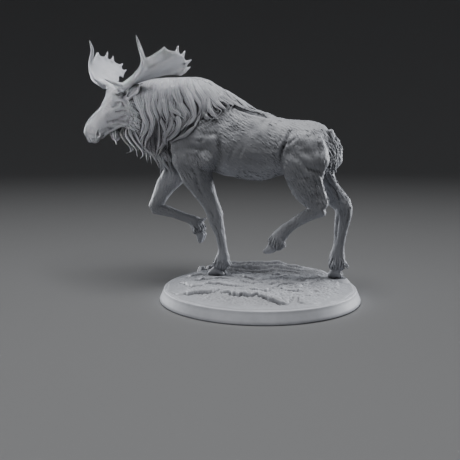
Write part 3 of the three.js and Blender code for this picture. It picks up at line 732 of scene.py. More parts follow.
# Folds of the skin, as lines in x and z: line, depth (a ridge below zero), half width, and where
# (-1 left flank, 1 right flank, 0 both, -2 the inner face of the right leg).
folds = [
    ([(-23.2, 38.5), (-25.4, 37.5), (-25.3, 36.2), (-22.7, 34.8)], 0.25, 0.6, -1),
    ([(-11.4, 41.4), (-10.6, 39.2), (-10.1, 36.9), (-10.4, 34.9), (-11.6, 33.2), (-13.6, 31.9)],
     0.6, 0.75, 0),
    ([(-19.0, 38.6), (-16.8, 37.6), (-14.6, 37.3), (-12.4, 37.9)], 0.24, 0.8, 0),
    ([(-8.8, 47.9), (-6.0, 46.7), (-4.0, 45.9), (-1.9, 45.4), (0.1, 44.9), (1.7, 44.6)], 0.4, 0.28, 0),
    ([(-19.6, 36.8), (-18.4, 35.6), (-16.6, 35.4), (-15.2, 36.2)], 0.1, 0.5, 0),
    ([(-14.2, 35.6), (-13.0, 34.6), (-12.4, 33.4)], 0.1, 0.5, 0),
    ([(-17.4, 39.6), (-15.6, 39.0), (-13.9, 39.5)], 0.18, 0.45, 0),
    ([(-15.6, 34.4), (-15.5, 32.6), (-14.4, 31.6), (-13.0, 32.0)], 0.15, 0.4, 0),
    ([(-16.1, 36.9), (-16.3, 36.0), (-17.1, 34.4)], -0.1, 0.6, 0),
    ([(-18.4, 35.8), (-18.5, 34.6), (-18.2, 33.2)], 0.2, 0.55, 0),
    ([(-17.6, 32.6), (-17.0, 31.4), (-16.3, 30.2)], 0.28, 0.5, 0),
    ([(-16.4, 30.4), (-16.4, 28.6), (-16.0, 26.8), (-14.6, 24.6)], 0.3, 0.45, -1),
    ([(-20.8, 32.2), (-19.6, 29.8), (-18.0, 27.2)], 0.15, 0.4, -1),
    ([(-22.2, 40.2), (-19.4, 39.4), (-16.4, 40.0)], 0.22, 0.7, 0),
    ([(-15.2, 40.9), (-12.4, 40.6), (-10.9, 41.4)], 0.2, 0.6, 0),
    ([(7.2, 41.6), (6.7, 40.2), (6.4, 38.9), (5.7, 37.4), (5.3, 36.0), (5.0, 34.0)], 0.6, 0.45, -1),
    ([(8.9, 41.6), (8.4, 40.2), (8.0, 38.9), (7.3, 37.4), (6.9, 36.0), (6.6, 34.0)], 0.45, 0.5, 1),
    ([(6.7, 37.8), (7.8, 38.9), (9.3, 40.1)], 0.2, 0.4, 0),
    ([(8.2, 39.2), (11.4, 36.8), (14.2, 33.8)], 0.14, 0.7, 0),
    ([(7.8, 36.4), (10.6, 34.2), (13.4, 31.4)], 0.14, 0.6, 0),
    ([(8.4, 33.4), (10.8, 31.6), (12.6, 29.4)], 0.12, 0.5, 0),
    ([(11.5, 32.6), (13.4, 32.4), (15.2, 31.9)], 0.2, 0.6, 0),
    ([(9.6, 30.6), (11.0, 30.3), (12.6, 30.5)], 0.12, 0.5, 0),
    ([(12.9, 40.8), (14.0, 38.9), (14.7, 37.0), (15.0, 35.1), (15.1, 33.1)], 0.2, 0.35, 0),
    ([(13.7, 40.4), (14.6, 38.9), (15.4, 37.0), (15.5, 35.1), (15.2, 33.4)], -0.16, 0.4, 0),
    ([(14.6, 40.6), (15.6, 39.2), (16.2, 37.4)], 0.25, 0.4, -1),
    ([(13.2, 31.0), (13.9, 28.9), (14.1, 27.0), (14.6, 25.6)], 0.2, 0.36, -1),
    ([(14.4, 30.6), (15.1, 28.9), (15.5, 27.0), (16.0, 25.4)], -0.16, 0.34, -1),
    ([(15.2, 28.8), (17.0, 26.6), (18.0, 24.4), (18.6, 22.6)], 0.4, 0.4, 1),
    ([(14.8, 29.8), (17.0, 27.2), (18.2, 24.6), (18.6, 22.9)], 0.3, 0.35, -2),
    ([(18.2, 20.6), (17.9, 17.0), (17.5, 12.6)], 0.22, 0.35, -2),
    ([(-12.3, 18.6), (-11.2, 15.4), (-10.6, 11.6)], 0.2, 0.3, -1),
    ([(-13.4, 21.6), (-12.6, 20.4), (-12.6, 19.0)], 0.2, 0.35, -1),
    ([(-4.2, 35.8), (-1.6, 34.6), (1.6, 34.4), (4.6, 35.2)], 0.16, 0.8, 0),
    ([(-6.4, 37.4), (-7.2, 35.6), (-8.2, 34.2)], 0.12, 0.4, 0),
    ([(-4.0, 38.2), (-4.6, 36.2), (-5.4, 34.6)], 0.10, 0.4, 0),
]


def foldSkin(points, normals):
    moved = points.copy()
    flat = points[:, [0, 2]]
    out = points[:, 1] - midY
    for line, depth, width, side in folds:
        path = spline([(x, 0, z) for x, z in line], 4)[:, [0, 2]]
        low, high = path.min(0) - 4 * width, path.max(0) + 4 * width
        picked = ((flat > low) & (flat < high)).all(1) & (np.abs(normals[:, 1]) > 0.15)
        if side == -2:
            picked &= (out > 0) & (normals[:, 1] < 0)
        elif side:
            picked &= (out * side > 0) & (normals[:, 1] * side > 0)
        else:
            picked &= out * normals[:, 1] > 0
        where = np.flatnonzero(picked)
        away, along = besideLine(flat[where, 0], flat[where, 1], path)
        away = np.abs(away) / width
        fade = 0.1 + 0.9 * np.clip(np.minimum(along, 1 - along) / 0.3, 0, 1) ** 0.8
        groove = np.exp(-away ** 2) - 0.3 * np.exp(-(away - 2) ** 2)  # with a low lip on both sides
        moved[where] -= normals[where] * (depth * fade * groove)[:, None]
    return moved


# Wrinkles of the face, as lines in the head's axes: line, depth (a ridge below zero), half width.
wrinkles = [
    ([(1.7, 3.0, -0.7), (1.4, 3.0, -0.3), (0.7, 3.1, 0.0)], 0.07, 0.25),
    ([(1.5, 2.9, -1.3), (0.9, 2.9, -1.7), (0.1, 3.0, -1.8)], 0.14, 0.25),
    ([(2.6, 2.7, -4.2), (1.9, 2.8, -3.8), (1.3, 3.0, -3.2)], 0.34, 0.45),
    ([(0.9, 3.2, -3.1), (1.0, 3.2, -4.0)], -0.14, 0.36),
    ([(0.9, 3.1, -2.9), (0.4, 3.4, -3.1), (0.1, 3.6, -3.8)], 0.24, 0.3),
    ([(2.9, 2.5, -4.8), (1.4, 3.0, -4.5), (0.0, 3.7, -4.3)], -0.09, 0.40),
    ([(1.9, 2.6, -5.4), (1.2, 3.0, -5.3), (0.4, 3.4, -5.1), (-0.4, 4.0, -5.1)], 0.24, 0.26),
    ([(3.8, 2.0, -8.0), (2.6, 2.3, -7.6), (1.3, 2.5, -7.1), (0.4, 3.0, -6.8), (-0.5, 3.7, -6.5)],
     0.27, 0.45),
    ([(2.6, 2.0, -8.4), (1.0, 2.2, -8.1), (-0.4, 2.7, -8.3), (-1.8, 3.8, -8.6)], -0.2, 0.4),
    ([(3.4, 1.8, -9.5), (1.7, 2.2, -9.6), (0.3, 2.4, -9.5), (-1.6, 2.2, -9.6)], 0.16, 0.43),
    ([(3.0, 1.9, -2.7), (3.0, 2.0, -3.6)], 0.09, 0.43),
    ([(6.2, 2.1, -10.6), (5.1, 1.9, -10.1), (3.8, 1.7, -9.4)], 0.10, 0.30),
    ([(5.6, 1.9, -11.2), (4.7, 1.7, -10.8), (3.6, 1.7, -10.2)], 0.09, 0.28),
    ([(8.6, 1.2, -10.8), (8.5, 1.4, -10.1), (8.1, 1.8, -9.8), (7.7, 2.0, -10.4)], 0.10, 0.38),
    ([(6.7, 1.6, -12.9), (5.7, 1.7, -12.1), (4.8, 1.6, -11.5)], 0.34, 0.2),  # mouth
]


def wrinkleFace(points, normals):
    local = fromHead(points)
    local[:, 1] = np.abs(local[:, 1])
    isFace = (local[:, 0] > -3) & (local[:, 2] < 2) & (local[:, 1] < 4) & (points[:, 0] < -30)
    where = np.flatnonzero(isFace)
    p = local[where]
    push = np.zeros(len(p))
    for line, depth, width in wrinkles:
        away = np.min([np.linalg.norm((p - q) * (1, 0.4, 1), axis=1) for q in spline(line, 8)], axis=0)
        push += depth * np.exp(-(away / width) ** 2)
    moved = points.copy()
    moved[where] -= normals[where] * push[:, None]
    return moved


# Short fur: overlapping low tufts that follow the lie of the coat.
fur = {
    "tries": 48000,  # places tried for a tuft
    "cell": 0.42,  # a cell this wide holds one of them at most
    "overlap": 5,  # tufts that can meet at one place
    "long": 3.0,
    "wide": 0.36,
    "height": 0.38,
}


def flowLines():  # places and ways that the short coat follows, and how strongly
    runs = []
    bodies = [(skin["trunk"], 1.0), (skin["neck"][::-1], 1.0), (headRows[::-1], 1.0), (skin["tail"], 0.2)]
    for rows, weight in bodies + [(rows, 0.5) for rows in legRows.values()]:
        line = spline([row[0] for row in rows], 2)
        runs += [((a + b) / 2, unit(b - a), weight) for a, b in zip(line, line[1:])]
    return runs


def furFlow(points, normals):
    total = np.zeros_like(points)
    for place, way, weight in flowLines():
        d2 = ((points - place) ** 2).sum(1)
        total += way * (weight / (d2 + 1.0) ** 1.6)[:, None]
    total = units(total)
    total += vec(0.25, 0, -0.45)
    total += 0.35 * np.stack([noiseAt(points, 5.0, k) for k in (21, 22, 23)], 1)
    total -= (total * normals).sum(1, keepdims=True) * normals
    return units(total)


def spreadEvenly(points, picks, cell):  # the picks, with at most one to a cell
    cells = {}
    for i in picks:
        cells.setdefault(tuple(np.floor(points[i] / cell).astype(int)), i)
    return np.array(list(cells.values()))


def coatHeight(points):  # the short coat is low on the face, the ears and the lower legs
    local = fromHead(points)
    isHead = (local[:, 0] > -1.5) & (local[:, 1] > -4) & (local[:, 1] < 4.5) & (points[:, 0] < -30)
    height = np.where(isHead, 0.33, 1.0) * (0.6 + 0.4 * np.clip((points[:, 2] - 12) / 16, 0, 1))
    height *= 1 - 0.75 * (local[:, 0] - 0.6 * local[:, 2] > 8.5) * isHead  # muzzle
    for hand in (1, -1):
        toEye = np.linalg.norm(local - np.array(eye["at"]) * (1, hand, 1), axis=1)
        height *= 0.2 + 0.8 * np.clip((toEye - 0.9) / 1.4, 0, 1)
        ear = bar((-0.9, 3.4 * hand, -2.0), (-1.8, 6.6 * hand, 2.0), 1)[0]
        height *= 0.25 + 0.75 * np.clip((ear(local.astype(np.float32)) - 0.2) / 0.8, 0, 1)
    return height, isHead


def furRelief(points, normals):
    chance = np.random.default_rng(5)
    chosen = spreadEvenly(points, chance.permutation(len(points))[:fur["tries"]], fur["cell"])
    centre, normal = points[chosen], normals[chosen]
    way = furFlow(centre, normal)
    across = np.cross(normal, way)
    size = chance.uniform(0.7, 1.3, len(chosen))
    tall = chance.uniform(0.5, 1.2, len(chosen)) * (0.55 + 0.6 * np.maximum(noiseAt(centre, 4.5, 31), -0.6))
    tree = treeOf(centre)
    hits = np.array([[hit[1] for hit in tree.find_n(p, fur["overlap"])] for p in points.tolist()])
    lift = np.zeros(len(points))
    for n in hits.T:
        rel = points - centre[n]
        u = (rel * way[n]).sum(1) / (fur["long"] * size[n])
        v = (rel * across[n]).sum(1) / (fur["wide"] * size[n])
        v /= 1 - 0.7 * np.clip(u, 0, 1)  # pointed at its end
        tuft = np.clip(1 - v * v, 0, 1) * np.clip((u + 1) / 1.5, 0, 1) * np.clip((1 - u) / 0.7, 0, 1)
        lift = np.maximum(lift, tuft * tall[n])
    height, isHead = coatHeight(points)
    lift *= height * fur["height"]
    legs = np.clip((30 - points[:, 2]) / 8, 0, 1)
    uneven = (0.18 - 0.1 * legs) * noiseAt(points, 2.3, 33) + 0.05 * noiseAt(points, 1.1, 34)
    lift += np.where(isHead, 0.4, 1.0) * uneven
    return points + normals * lift[:, None]


skinPoints, skinFaces = biggestPart(*sculpted(skinForms(), skin["voxel"]))
report("skin sculpted: %d faces" % len(skinFaces))
for relief in (foldSkin, wrinkleFace, furRelief):
    skinPoints = relief(skinPoints, normalsOf(skinPoints, skinFaces))
skinNormals = normalsOf(skinPoints, skinFaces)
skinTree = treeOf(skinPoints)
report("skin folds and short fur")

fleshNodes = ["trunk", "neck", "tail", "head", "ear_left", "ear_right"]
fleshNodes += ["%s_%s_%s" % (pair, side, part) for pair in ("foreleg", "hindleg")
               for side in ("left", "right") for part in ("upper", "lower")]
castPiece("moose_skin", skinPoints, skinFaces, "body", fleshNodes, furResin)


# Long hair: locks that taper to a point, each a closed body with strands along it.

def closeToSkin(path, most):  # the path with its points no further than that off the skin
    held = []
    for p, cap in zip(path, most):
        n = skinTree.find(p)[1]
        off = (p - skinPoints[n]) @ skinNormals[n]
        held.append(p - skinNormals[n] * max(0, off - cap))
    return np.array(held)


def unwrapped(point):  # where a place of the coat lies on an unwrap of the body, from 0 to 1 both ways
    x, y, z = point
    axis = 38 + 10 * np.clip((-12 - x) / 20, 0, 1)
    turn = math.atan2(y - midY, z - axis) / (2 * math.pi)
    return 0.02 + 0.94 * np.clip((x + 52) / 78, 0, 1), 0.5 + 0.94 * turn


class LockBasket:  # gathers locks, then makes them one piece
    def __init__(self):
        self.points, self.faces, self.places, self.count = [], [], [], 0

    def add(self, line, normals, wide, thick, strands=3, drift=0.0, rings=22, sides=14, tip=0.04):
        t = np.linspace(0, 1, rings)
        at = np.linspace(0, 1, len(line))
        centre = np.stack([np.interp(t, at, line[:, i]) for i in range(3)], 1)
        out = np.stack([np.interp(t, at, normals[:, i]) for i in range(3)], 1)
        along = units(np.gradient(centre, axis=0))
        out = units(out - (out * along).sum(1, keepdims=True) * along)
        side = np.cross(along, out)
        swell = 0.2 + 0.8 * np.clip(t / 0.3, 0, 1) ** 0.7
        taper = np.maximum(swell * np.maximum(1 - t ** 2.6, 0) ** 0.85, tip)
        angle = 2 * math.pi * np.arange(sides) / sides
        across, up = np.cos(angle), np.sin(angle)
        phase = across[None] * (strands * 1.6) + drift * t[:, None] * 4
        groove = 1 - 0.30 * (0.5 + 0.5 * np.cos(2 * phase)) * np.clip(1.2 - np.abs(across) ** 4, 0, 1)
        w = (wide * taper)[:, None] * across[None]
        h = (thick * taper ** 0.8)[:, None] * up[None] * groove
        ring = centre[:, None] + side[:, None] * w[..., None] + out[:, None] * h[..., None]
        ends = [centre[:1] - along[:1] * 0.1, centre[-1:] + along[-1:] * wide * 0.15]
        self.points += [ring.reshape(-1, 3), *ends]

        start = self.count
        self.faces.append(start + ringFaces(rings, sides, flip=True))
        k = np.arange(0, sides, 2)
        fan = np.stack([k, k + 1, (k + 2) % sides], 1)
        tips = np.full((len(k), 1), start + rings * sides)
        self.faces.append(np.hstack([tips, start + fan]))
        self.faces.append(np.hstack([tips + 1, start + (rings - 1) * sides + fan[:, ::-1]]))
        spot = np.stack([np.tile(np.arange(sides) / sides, rings), np.repeat(t, sides)], 1)
        spot = np.vstack([spot, [[0.5, 0], [0.5, 1]]])
        self.places.append(np.array(unwrapped(centre[0])) + (spot - 0.5) * 0.003)
        self.count += rings * sides + 2

    def piece(self, name, nodes, slot="hair", material=hairResin):
        faces = np.vstack(self.faces)
        made = castPiece(name, np.vstack(self.points), faces, slot, nodes, material)
        chart = made.data.uv_layers.new(name="OFBake")
        corner = np.zeros(len(made.data.loops), np.int32)
        made.data.loops.foreach_get("vertex_index", corner)
        chart.data.foreach_set("uv", np.vstack(self.places)[corner].astype(np.float32).ravel())
        report("%s: %d faces" % (name, len(faces)))
        return made


# What the long hair lies on, coarse and without ears.
coatForms = [
    add(limb(skin["trunk"], 2), 0.5),
    add(limb(skin["neck"], 2, sideEnd=-headLeft), 2.0),
    add(limb(legRows["foreLeft"][:5], 2), 1.2),
    add(limb(legRows["foreRight"][:5], 2), 1.2),
    add(limb(skin["maneCore"], 2), 1.0),
    add(limb(skin["throatCore"], 2, sideEnd=-headLeft), 1.0),
]
coatPoints, coatFaces = sculpted(coatForms, 0.4)
coatTree = BVHTree.FromPolygons([Vector(p) for p in coatPoints], coatFaces.tolist())


def centreY(x):  # the middle of the neck and trunk at x
    return np.interp(x, [-37, -34.4, -29.8, -24, -17.5], [-1, 0.9, 3.4, 5.2, midY])


def crestAt(x):  # height of the coat over its middle at x
    hit = coatTree.ray_cast(Vector((x, centreY(x), 90)), Vector((0, 0, -1)), 80)[0]
    return hit.z if hit else 99


def dropped(starts, ways, lifts, reach):  # where rays from the starts meet the coat, until one misses
    points, normals = [], []
    for start, way, lift in zip(starts, ways, lifts):
        hit, normal, _, _ = coatTree.ray_cast(Vector(start), Vector(way), reach)
        if hit is None:
            break
        points.append(vec(*hit) + vec(*normal) * lift)
        normals.append(normal)
    return np.array(points), np.array(normals)


def laid(flatLine, side):  # a line in x and z laid on the coat, from the left (-1) or the right (1)
    points, normals = [], []
    lastY = None
    for x, z in flatLine:
        z = min(z, crestAt(x) - 0.12)
        hit, normal, _, _ = coatTree.ray_cast(Vector((x, midY + side * 40, z)), Vector((0, -side, 0)), 60)
        if hit is None or (lastY is not None and abs(hit.y - lastY) > 3.5):  # it hangs free from here
            if lastY is None:
                lastY = centreY(x) + side
            lastY = lastY + (centreY(x) + side * 0.7 - lastY) * 0.12
            hit, normal = (x, lastY, z), (0, side, 0)
        else:
            lastY = hit.y
        points.append(tuple(hit))
        normals.append(tuple(normal))
    return np.array(points), np.array(normals)


# Guides that the mane follows on the flank, in x and z from the crest to the ends, front to rear.
mane = {
    "guides": [
        [(-33.6, 52.4), (-32.5, 50.4), (-31.2, 47.8), (-30.7, 45.2), (-32.2, 41.6), (-33.0, 38.6)],
        [(-31.4, 53.6), (-30.8, 50.6), (-29.9, 47.6), (-29.6, 44.6), (-31.3, 40.5), (-32.2, 36.4)],
        [(-29.1, 54.4), (-28.7, 51.0), (-28.3, 47.6), (-28.2, 44.1), (-30.2, 39.6), (-30.7, 34.6)],
        [(-26.8, 55.0), (-26.2, 51.0), (-26.1, 47.0), (-25.7, 43.1), (-27.8, 38.8), (-28.9, 33.2)],
        [(-24.6, 55.1), (-23.1, 50.8), (-22.0, 46.8), (-20.8, 43.3), (-22.9, 40.1), (-26.2, 37.0)],
        [(-22.4, 55.0), (-20.0, 51.2), (-18.3, 47.7), (-17.6, 44.7), (-18.8, 42.0), (-21.5, 39.3)],
        [(-20.2, 54.9), (-17.4, 51.4), (-15.5, 48.2), (-14.9, 45.2), (-15.9, 43.0), (-18.2, 41.3)],
        [(-17.9, 54.5), (-14.9, 51.0), (-13.1, 48.4), (-12.2, 46.4), (-12.3, 44.4), (-13.3, 43.2)],
        [(-15.9, 53.8), (-13.2, 51.2), (-11.1, 49.2), (-9.9, 47.7), (-9.0, 46.4), (-8.6, 45.8)],
        [(-13.4, 52.3), (-10.9, 50.2), (-9.0, 48.8), (-7.4, 47.8), (-6.2, 47.2), (-5.4, 46.9)],
    ],
    # for each layer: how many locks, where they start and end across the guides and along them,
    # half width, half thickness, lift off the coat, waviness, strands
    "layers": [
        (40, (0.0, 6.6), (0.30, 0.50), (0.84, 1.04), 0.42, 0.42, 0.00, 1.0, 2),
        (24, (0.0, 8.2), (0.14, 0.36), (0.74, 1.00), 0.70, 0.66, 0.45, 0.9, 3),
        (15, (0.0, 9.0), (-0.02, 0.10), (0.52, 0.88), 0.95, 0.66, 0.70, 0.7, 4),
        (19, (0.0, 9.0), (-0.03, 0.0), (0.34, 0.56), 1.35, 0.50, 0.50, 0.25, 5),
        (44, (0.0, 8.8), (0.02, 0.35), (0.55, 1.00), 0.17, 0.20, 0.95, 1.1, 1),
    ],
    "uneven": 4.2,  # guides from here on end unevenly, over the shoulder
    "hollow": (1.2, 3.4),  # locks between these guides stay short and leave the hollow on the neck open
    "overCrest": 20,
    # locks placed one by one: the line in x and z, half width
    "placed": [
        ([(-31.0, 52.0), (-30.4, 49.0), (-30.9, 46.2), (-30.1, 43.6), (-31.6, 41.0), (-32.8, 38.6)], 0.85),
        ([(-29.4, 53.2), (-28.9, 50.0), (-29.2, 47.2), (-28.6, 44.6), (-29.6, 42.0), (-31.0, 39.4),
          (-31.4, 36.8)], 0.95),
        ([(-28.3, 53.0), (-27.5, 50.1), (-27.8, 48.1), (-27.1, 45.6), (-27.4, 43.6)], 0.85),
        ([(-26.0, 52.4), (-25.2, 49.6), (-24.4, 46.8), (-24.0, 44.6), (-24.9, 42.2), (-26.6, 40.0),
          (-27.8, 37.4)], 0.95),
        ([(-23.9, 47.6), (-23.1, 45.2), (-22.5, 43.0), (-23.5, 41.0), (-25.6, 39.4), (-27.2, 37.6),
          (-28.2, 35.4)], 0.85),
        ([(-24.0, 50.4), (-23.3, 48.3), (-22.3, 46.8), (-20.9, 46.0), (-20.3, 45.2), (-20.7, 43.6)], 0.8),
        ([(-21.0, 46.4), (-20.9, 44.6), (-20.3, 42.7), (-21.2, 40.9), (-23.1, 39.6), (-25.4, 39.3)], 0.9),
        ([(-20.9, 49.6), (-20.2, 47.4), (-19.2, 45.8), (-19.1, 44.2), (-19.8, 42.0)], 0.75),
        ([(-23.6, 53.6), (-22.0, 50.4), (-20.8, 48.0), (-20.2, 46.0)], 1.1),
        ([(-21.2, 53.8), (-19.5, 51.0), (-18.1, 48.6), (-17.1, 46.2), (-17.0, 44.0), (-18.5, 42.1)], 1.0),
        ([(-18.4, 53.4), (-16.5, 50.9), (-15.0, 48.4), (-14.7, 46.2), (-15.2, 44.3)], 0.85),
        ([(-15.9, 43.2), (-17.7, 41.5), (-18.9, 40.4), (-20.6, 39.7), (-23.3, 38.5)], 0.6),
        ([(-27.0, 46.4), (-26.3, 44.3), (-25.3, 42.4), (-25.1, 40.4), (-26.8, 38.6), (-28.4, 36.6)], 0.75),
        ([(-31.0, 46.8), (-30.6, 44.9), (-30.3, 43.3), (-31.3, 41.7), (-32.6, 40.4)], 0.65),
        ([(-16.4, 53.2), (-14.7, 50.9), (-12.3, 48.7), (-10.5, 47.2), (-9.0, 46.3)], 0.85),
        ([(-15.3, 50.8), (-14.3, 48.4), (-13.2, 46.4), (-11.7, 44.8), (-10.6, 44.1)], 0.7),
        ([(-14.6, 51.2), (-12.7, 48.5), (-11.4, 47.0), (-11.0, 45.8)], 0.55),
        ([(-14.0, 47.6), (-12.6, 46.0), (-11.2, 43.8)], 0.5),
        ([(-14.9, 45.9), (-13.7, 44.9), (-12.2, 44.1)], 0.45),
        ([(-12.6, 51.4), (-9.6, 49.3), (-7.0, 47.7), (-4.8, 46.7)], 0.5),
        ([(-9.6, 49.4), (-6.8, 47.6), (-4.2, 46.5), (-1.6, 45.7)], 0.34),
        ([(-6.6, 48.0), (-4.0, 46.7), (-1.2, 45.7), (1.4, 44.9)], 0.28),
    ],
}


def guideAt(fine, s, t):  # the place between guides, s across them and t along them
    s = np.clip(s, 0, len(fine) - 1.001)
    t = np.clip(t, 0, 0.9999) * (fine.shape[1] - 1)
    i, j = s.astype(int), t.astype(int)
    s, t = (s - i)[:, None], (t - j)[:, None]
    near = fine[i, j] * (1 - t) + fine[i, j + 1] * t
    far = fine[i + 1, j] * (1 - t) + fine[i + 1, j + 1] * t
    return near * (1 - s) + far * s


def flatSpline(line, steps):  # smooth line through places in x and z
    return spline([(x, 0, z) for x, z in line], steps)[:, [0, 2]]


def maneLocks(side, seed):
    chance = np.random.default_rng(seed)
    front, rear = LockBasket(), LockBasket()
    fine = np.array([flatSpline(line, 12) for line in mane["guides"]])

    def lay(line, wide, thick, lift, strands, rings=32):
        points, normals = laid(line, side)
        t = np.linspace(0, 1, len(points))
        slim = 1 - 0.55 * np.clip((line[0, 0] + 19) / 6, 0, 1)  # thinner towards the back
        up = lift * slim * np.clip(t / 0.2, 0, 1) - 0.08 * (1 - np.clip(t / 0.15, 0, 1))
        up = up + 0.25 * slim * np.sin(chance.uniform(0, 6.28) + 7 * t) * t
        up = up + chance.uniform(-0.1, 0.3) * t ** 3
        basket = front if line[0, 0] < -23.5 else rear
        basket.add(points + normals * up[:, None], normals, wide, thick * slim, strands=strands,
                   drift=chance.uniform(-0.8, 0.8), rings=rings, sides=10 + 6 * strands)

    for count, (s0, s1), starts, ends, wide, thick, lift, sway, strands in mane["layers"]:
        for n in range(count):
            s = s0 + (s1 - s0) * (n + chance.uniform(0.15, 0.85)) / count
            start, end = chance.uniform(*starts), chance.uniform(*ends)
            if s > mane["uneven"]:
                end *= chance.uniform(0.78, 1.05)
            if mane["hollow"][0] < s < mane["hollow"][1] and 0.5 < wide < 1.3:
                end = min(end, 0.5)
            t = start + (end - start) * np.linspace(0, 1, 24)
            wave = sway * np.sin(10.5 * t + 1.7 * s + chance.uniform(0, 0.9)) * np.clip(t, 0.1, 1) ** 0.8
            size = chance.uniform(0.65, 1.3)
            lay(guideAt(fine, s + wave * 0.42, t), wide * size, thick * size, lift, strands,
                rings=32 if wide > 0.3 else 24)
    for line, wide in mane["placed"]:
        shift = 0 if side < 0 else chance.uniform(-0.4, 0.4, 2)
        lay(flatSpline(line, 5) + shift, wide, 0.62 * wide + 0.15, 0.85, 3)
    for n in range(mane["overCrest"]):
        x = -33 + 1.15 * n + chance.uniform(-0.3, 0.3)
        path = [(x + q, crestAt(x + q) + 0.05 - 0.7 * (q / 3.4) ** 1.5) for q in np.linspace(0, 3.4, 10)]
        lay(np.array(path), 0.8, 0.34, 0.12, 3, rings=18)
    return front, rear


for name, side, seed in (("left", -1, 3), ("right", 1, 4)):
    for part, basket in zip(("front", "rear"), maneLocks(side, seed)):
        basket.piece("mane_%s_%s" % (name, part), ["mane"])


# Hair that lies back along the crest and falls to either side, over the parting.
crestHair = {
    "locks": 80,
    "from": -34.0,
    "spacing": 0.33,
    "long": (3.5, 6.5),
    "fall": (0.6, 2.4),
    "wide": (0.35, 0.7),
    "thick": 0.28,
}


def crestLocks():
    chance = np.random.default_rng(8)
    basket = LockBasket()
    t = np.linspace(0, 1, 12)
    for n in range(crestHair["locks"]):
        x = crestHair["from"] + crestHair["spacing"] * n + chance.uniform(-0.2, 0.2)
        start, fall = chance.uniform(-0.5, 0.5), chance.choice((-1, 1)) * chance.uniform(*crestHair["fall"])
        x = x + chance.uniform(*crestHair["long"]) * t
        tops = np.stack([x, centreY(x) + start + fall * t ** 1.4, np.full(len(t), 90)], 1)
        lifts = -0.15 + 0.5 * np.minimum(1, t * 4) - 0.25 * t
        points, normals = dropped(tops, [(0, 0, -1)] * len(t), lifts, 80)
        if len(points) > 6:
            basket.add(points, normals, chance.uniform(*crestHair["wide"]), crestHair["thick"], strands=2,
                       drift=chance.uniform(-0.8, 0.8), rings=16, sides=18)
    return basket


crestLocks().piece("crest_hair", [])


# The neck on the side away from the turn of the head, round which the locks wrap.
nape = {
    "from": (-36.4, -0.3, 48.8),
    "to": (-29.2, 3.7, 47.6),
    # how many locks, half width, half thickness, lift, least and most angle round the neck at their ends
    "layers": [(26, 0.5, 0.35, 0.0, (95, 165)), (20, 0.85, 0.5, 0.5, (80, 150))],
}


def napeLocks():
    chance = np.random.default_rng(6)
    basket = LockBasket()
    start, end = vec(*nape["from"]), vec(*nape["to"])
    axis = unit(end - start)
    side = unit(np.cross(vec(0, 0, 1), axis))
    up = np.cross(axis, side)
    t = np.linspace(0, 1, 16)
    for count, wide, thick, lift, ends in nape["layers"]:
        for n in range(count):
            along = (n + chance.uniform(0.2, 0.8)) / count
            a = np.radians(np.linspace(chance.uniform(0, 18), chance.uniform(*ends), 16))
            phase, sway, size = chance.uniform(0, 6.28), chance.uniform(0.3, 0.7), chance.uniform(0.75, 1.25)
            ways = np.cos(a)[:, None] * up + np.sin(a)[:, None] * side
            back = 1.6 * t + sway * t * np.sin(phase + 6 * t)
            centres = start + (end - start) * along + axis * back[:, None]
            lifts = lift * np.minimum(1, t * 5) - 0.08 * (1 - t)
            points, normals = dropped(centres + ways * 14, -ways, lifts, 14)
            if len(points) > 6:
                basket.add(points, normals, wide * size, thick * size, strands=3,
                           drift=chance.uniform(-0.8, 0.8), rings=26, sides=26)
    return basket


napeLocks().piece("nape_hair", [])


# Hair of the throat and breast, hanging free of the neck.
throat = {
    # places in x and z from root to tip, then half width; the tips curl back towards the chest
    "strands": [
        ([(-35.9, 43.2), (-36.9, 41.2), (-36.2, 39.2), (-35.2, 37.7), (-35.0, 36.4), (-35.9, 35.9)], 0.32),
        ([(-35.4, 43.0), (-35.7, 40.8), (-34.9, 38.6), (-33.9, 36.9), (-33.5, 34.8)], 0.38),
        ([(-35.0, 42.6), (-34.8, 40.4), (-34.0, 38.4), (-33.4, 36.4)], 0.38),
        ([(-34.8, 42.6), (-34.3, 39.8), (-33.0, 37.6), (-32.4, 35.8), (-32.9, 34.4)], 0.42),
        ([(-33.6, 41.4), (-32.6, 38.6), (-31.5, 36.5), (-31.2, 33.3)], 0.52),
        ([(-32.8, 40.6), (-31.8, 37.6), (-30.6, 35.6), (-30.4, 32.9)], 0.46),
        ([(-31.8, 39.6), (-30.8, 36.9), (-29.3, 34.6), (-28.7, 31.9)], 0.56),
        ([(-30.8, 38.8), (-29.9, 36.4), (-28.6, 34.4), (-27.9, 32.4)], 0.46),
        ([(-29.8, 37.8), (-28.9, 35.2), (-27.9, 33.0), (-28.3, 30.2)], 0.5),
        ([(-28.8, 36.8), (-27.9, 34.0), (-27.0, 31.6), (-27.4, 29.2)], 0.46),
        ([(-27.8, 36.0), (-26.9, 33.2), (-25.9, 31.2), (-26.2, 28.9)], 0.44),
        ([(-26.6, 35.4), (-25.8, 32.8), (-25.1, 31.0), (-25.3, 29.6)], 0.36),
    ],
    "spread": 1.1,
    "sides": (-1, 0, 1, -0.5, 0.6),  # copies of each, left to right of the middle
}


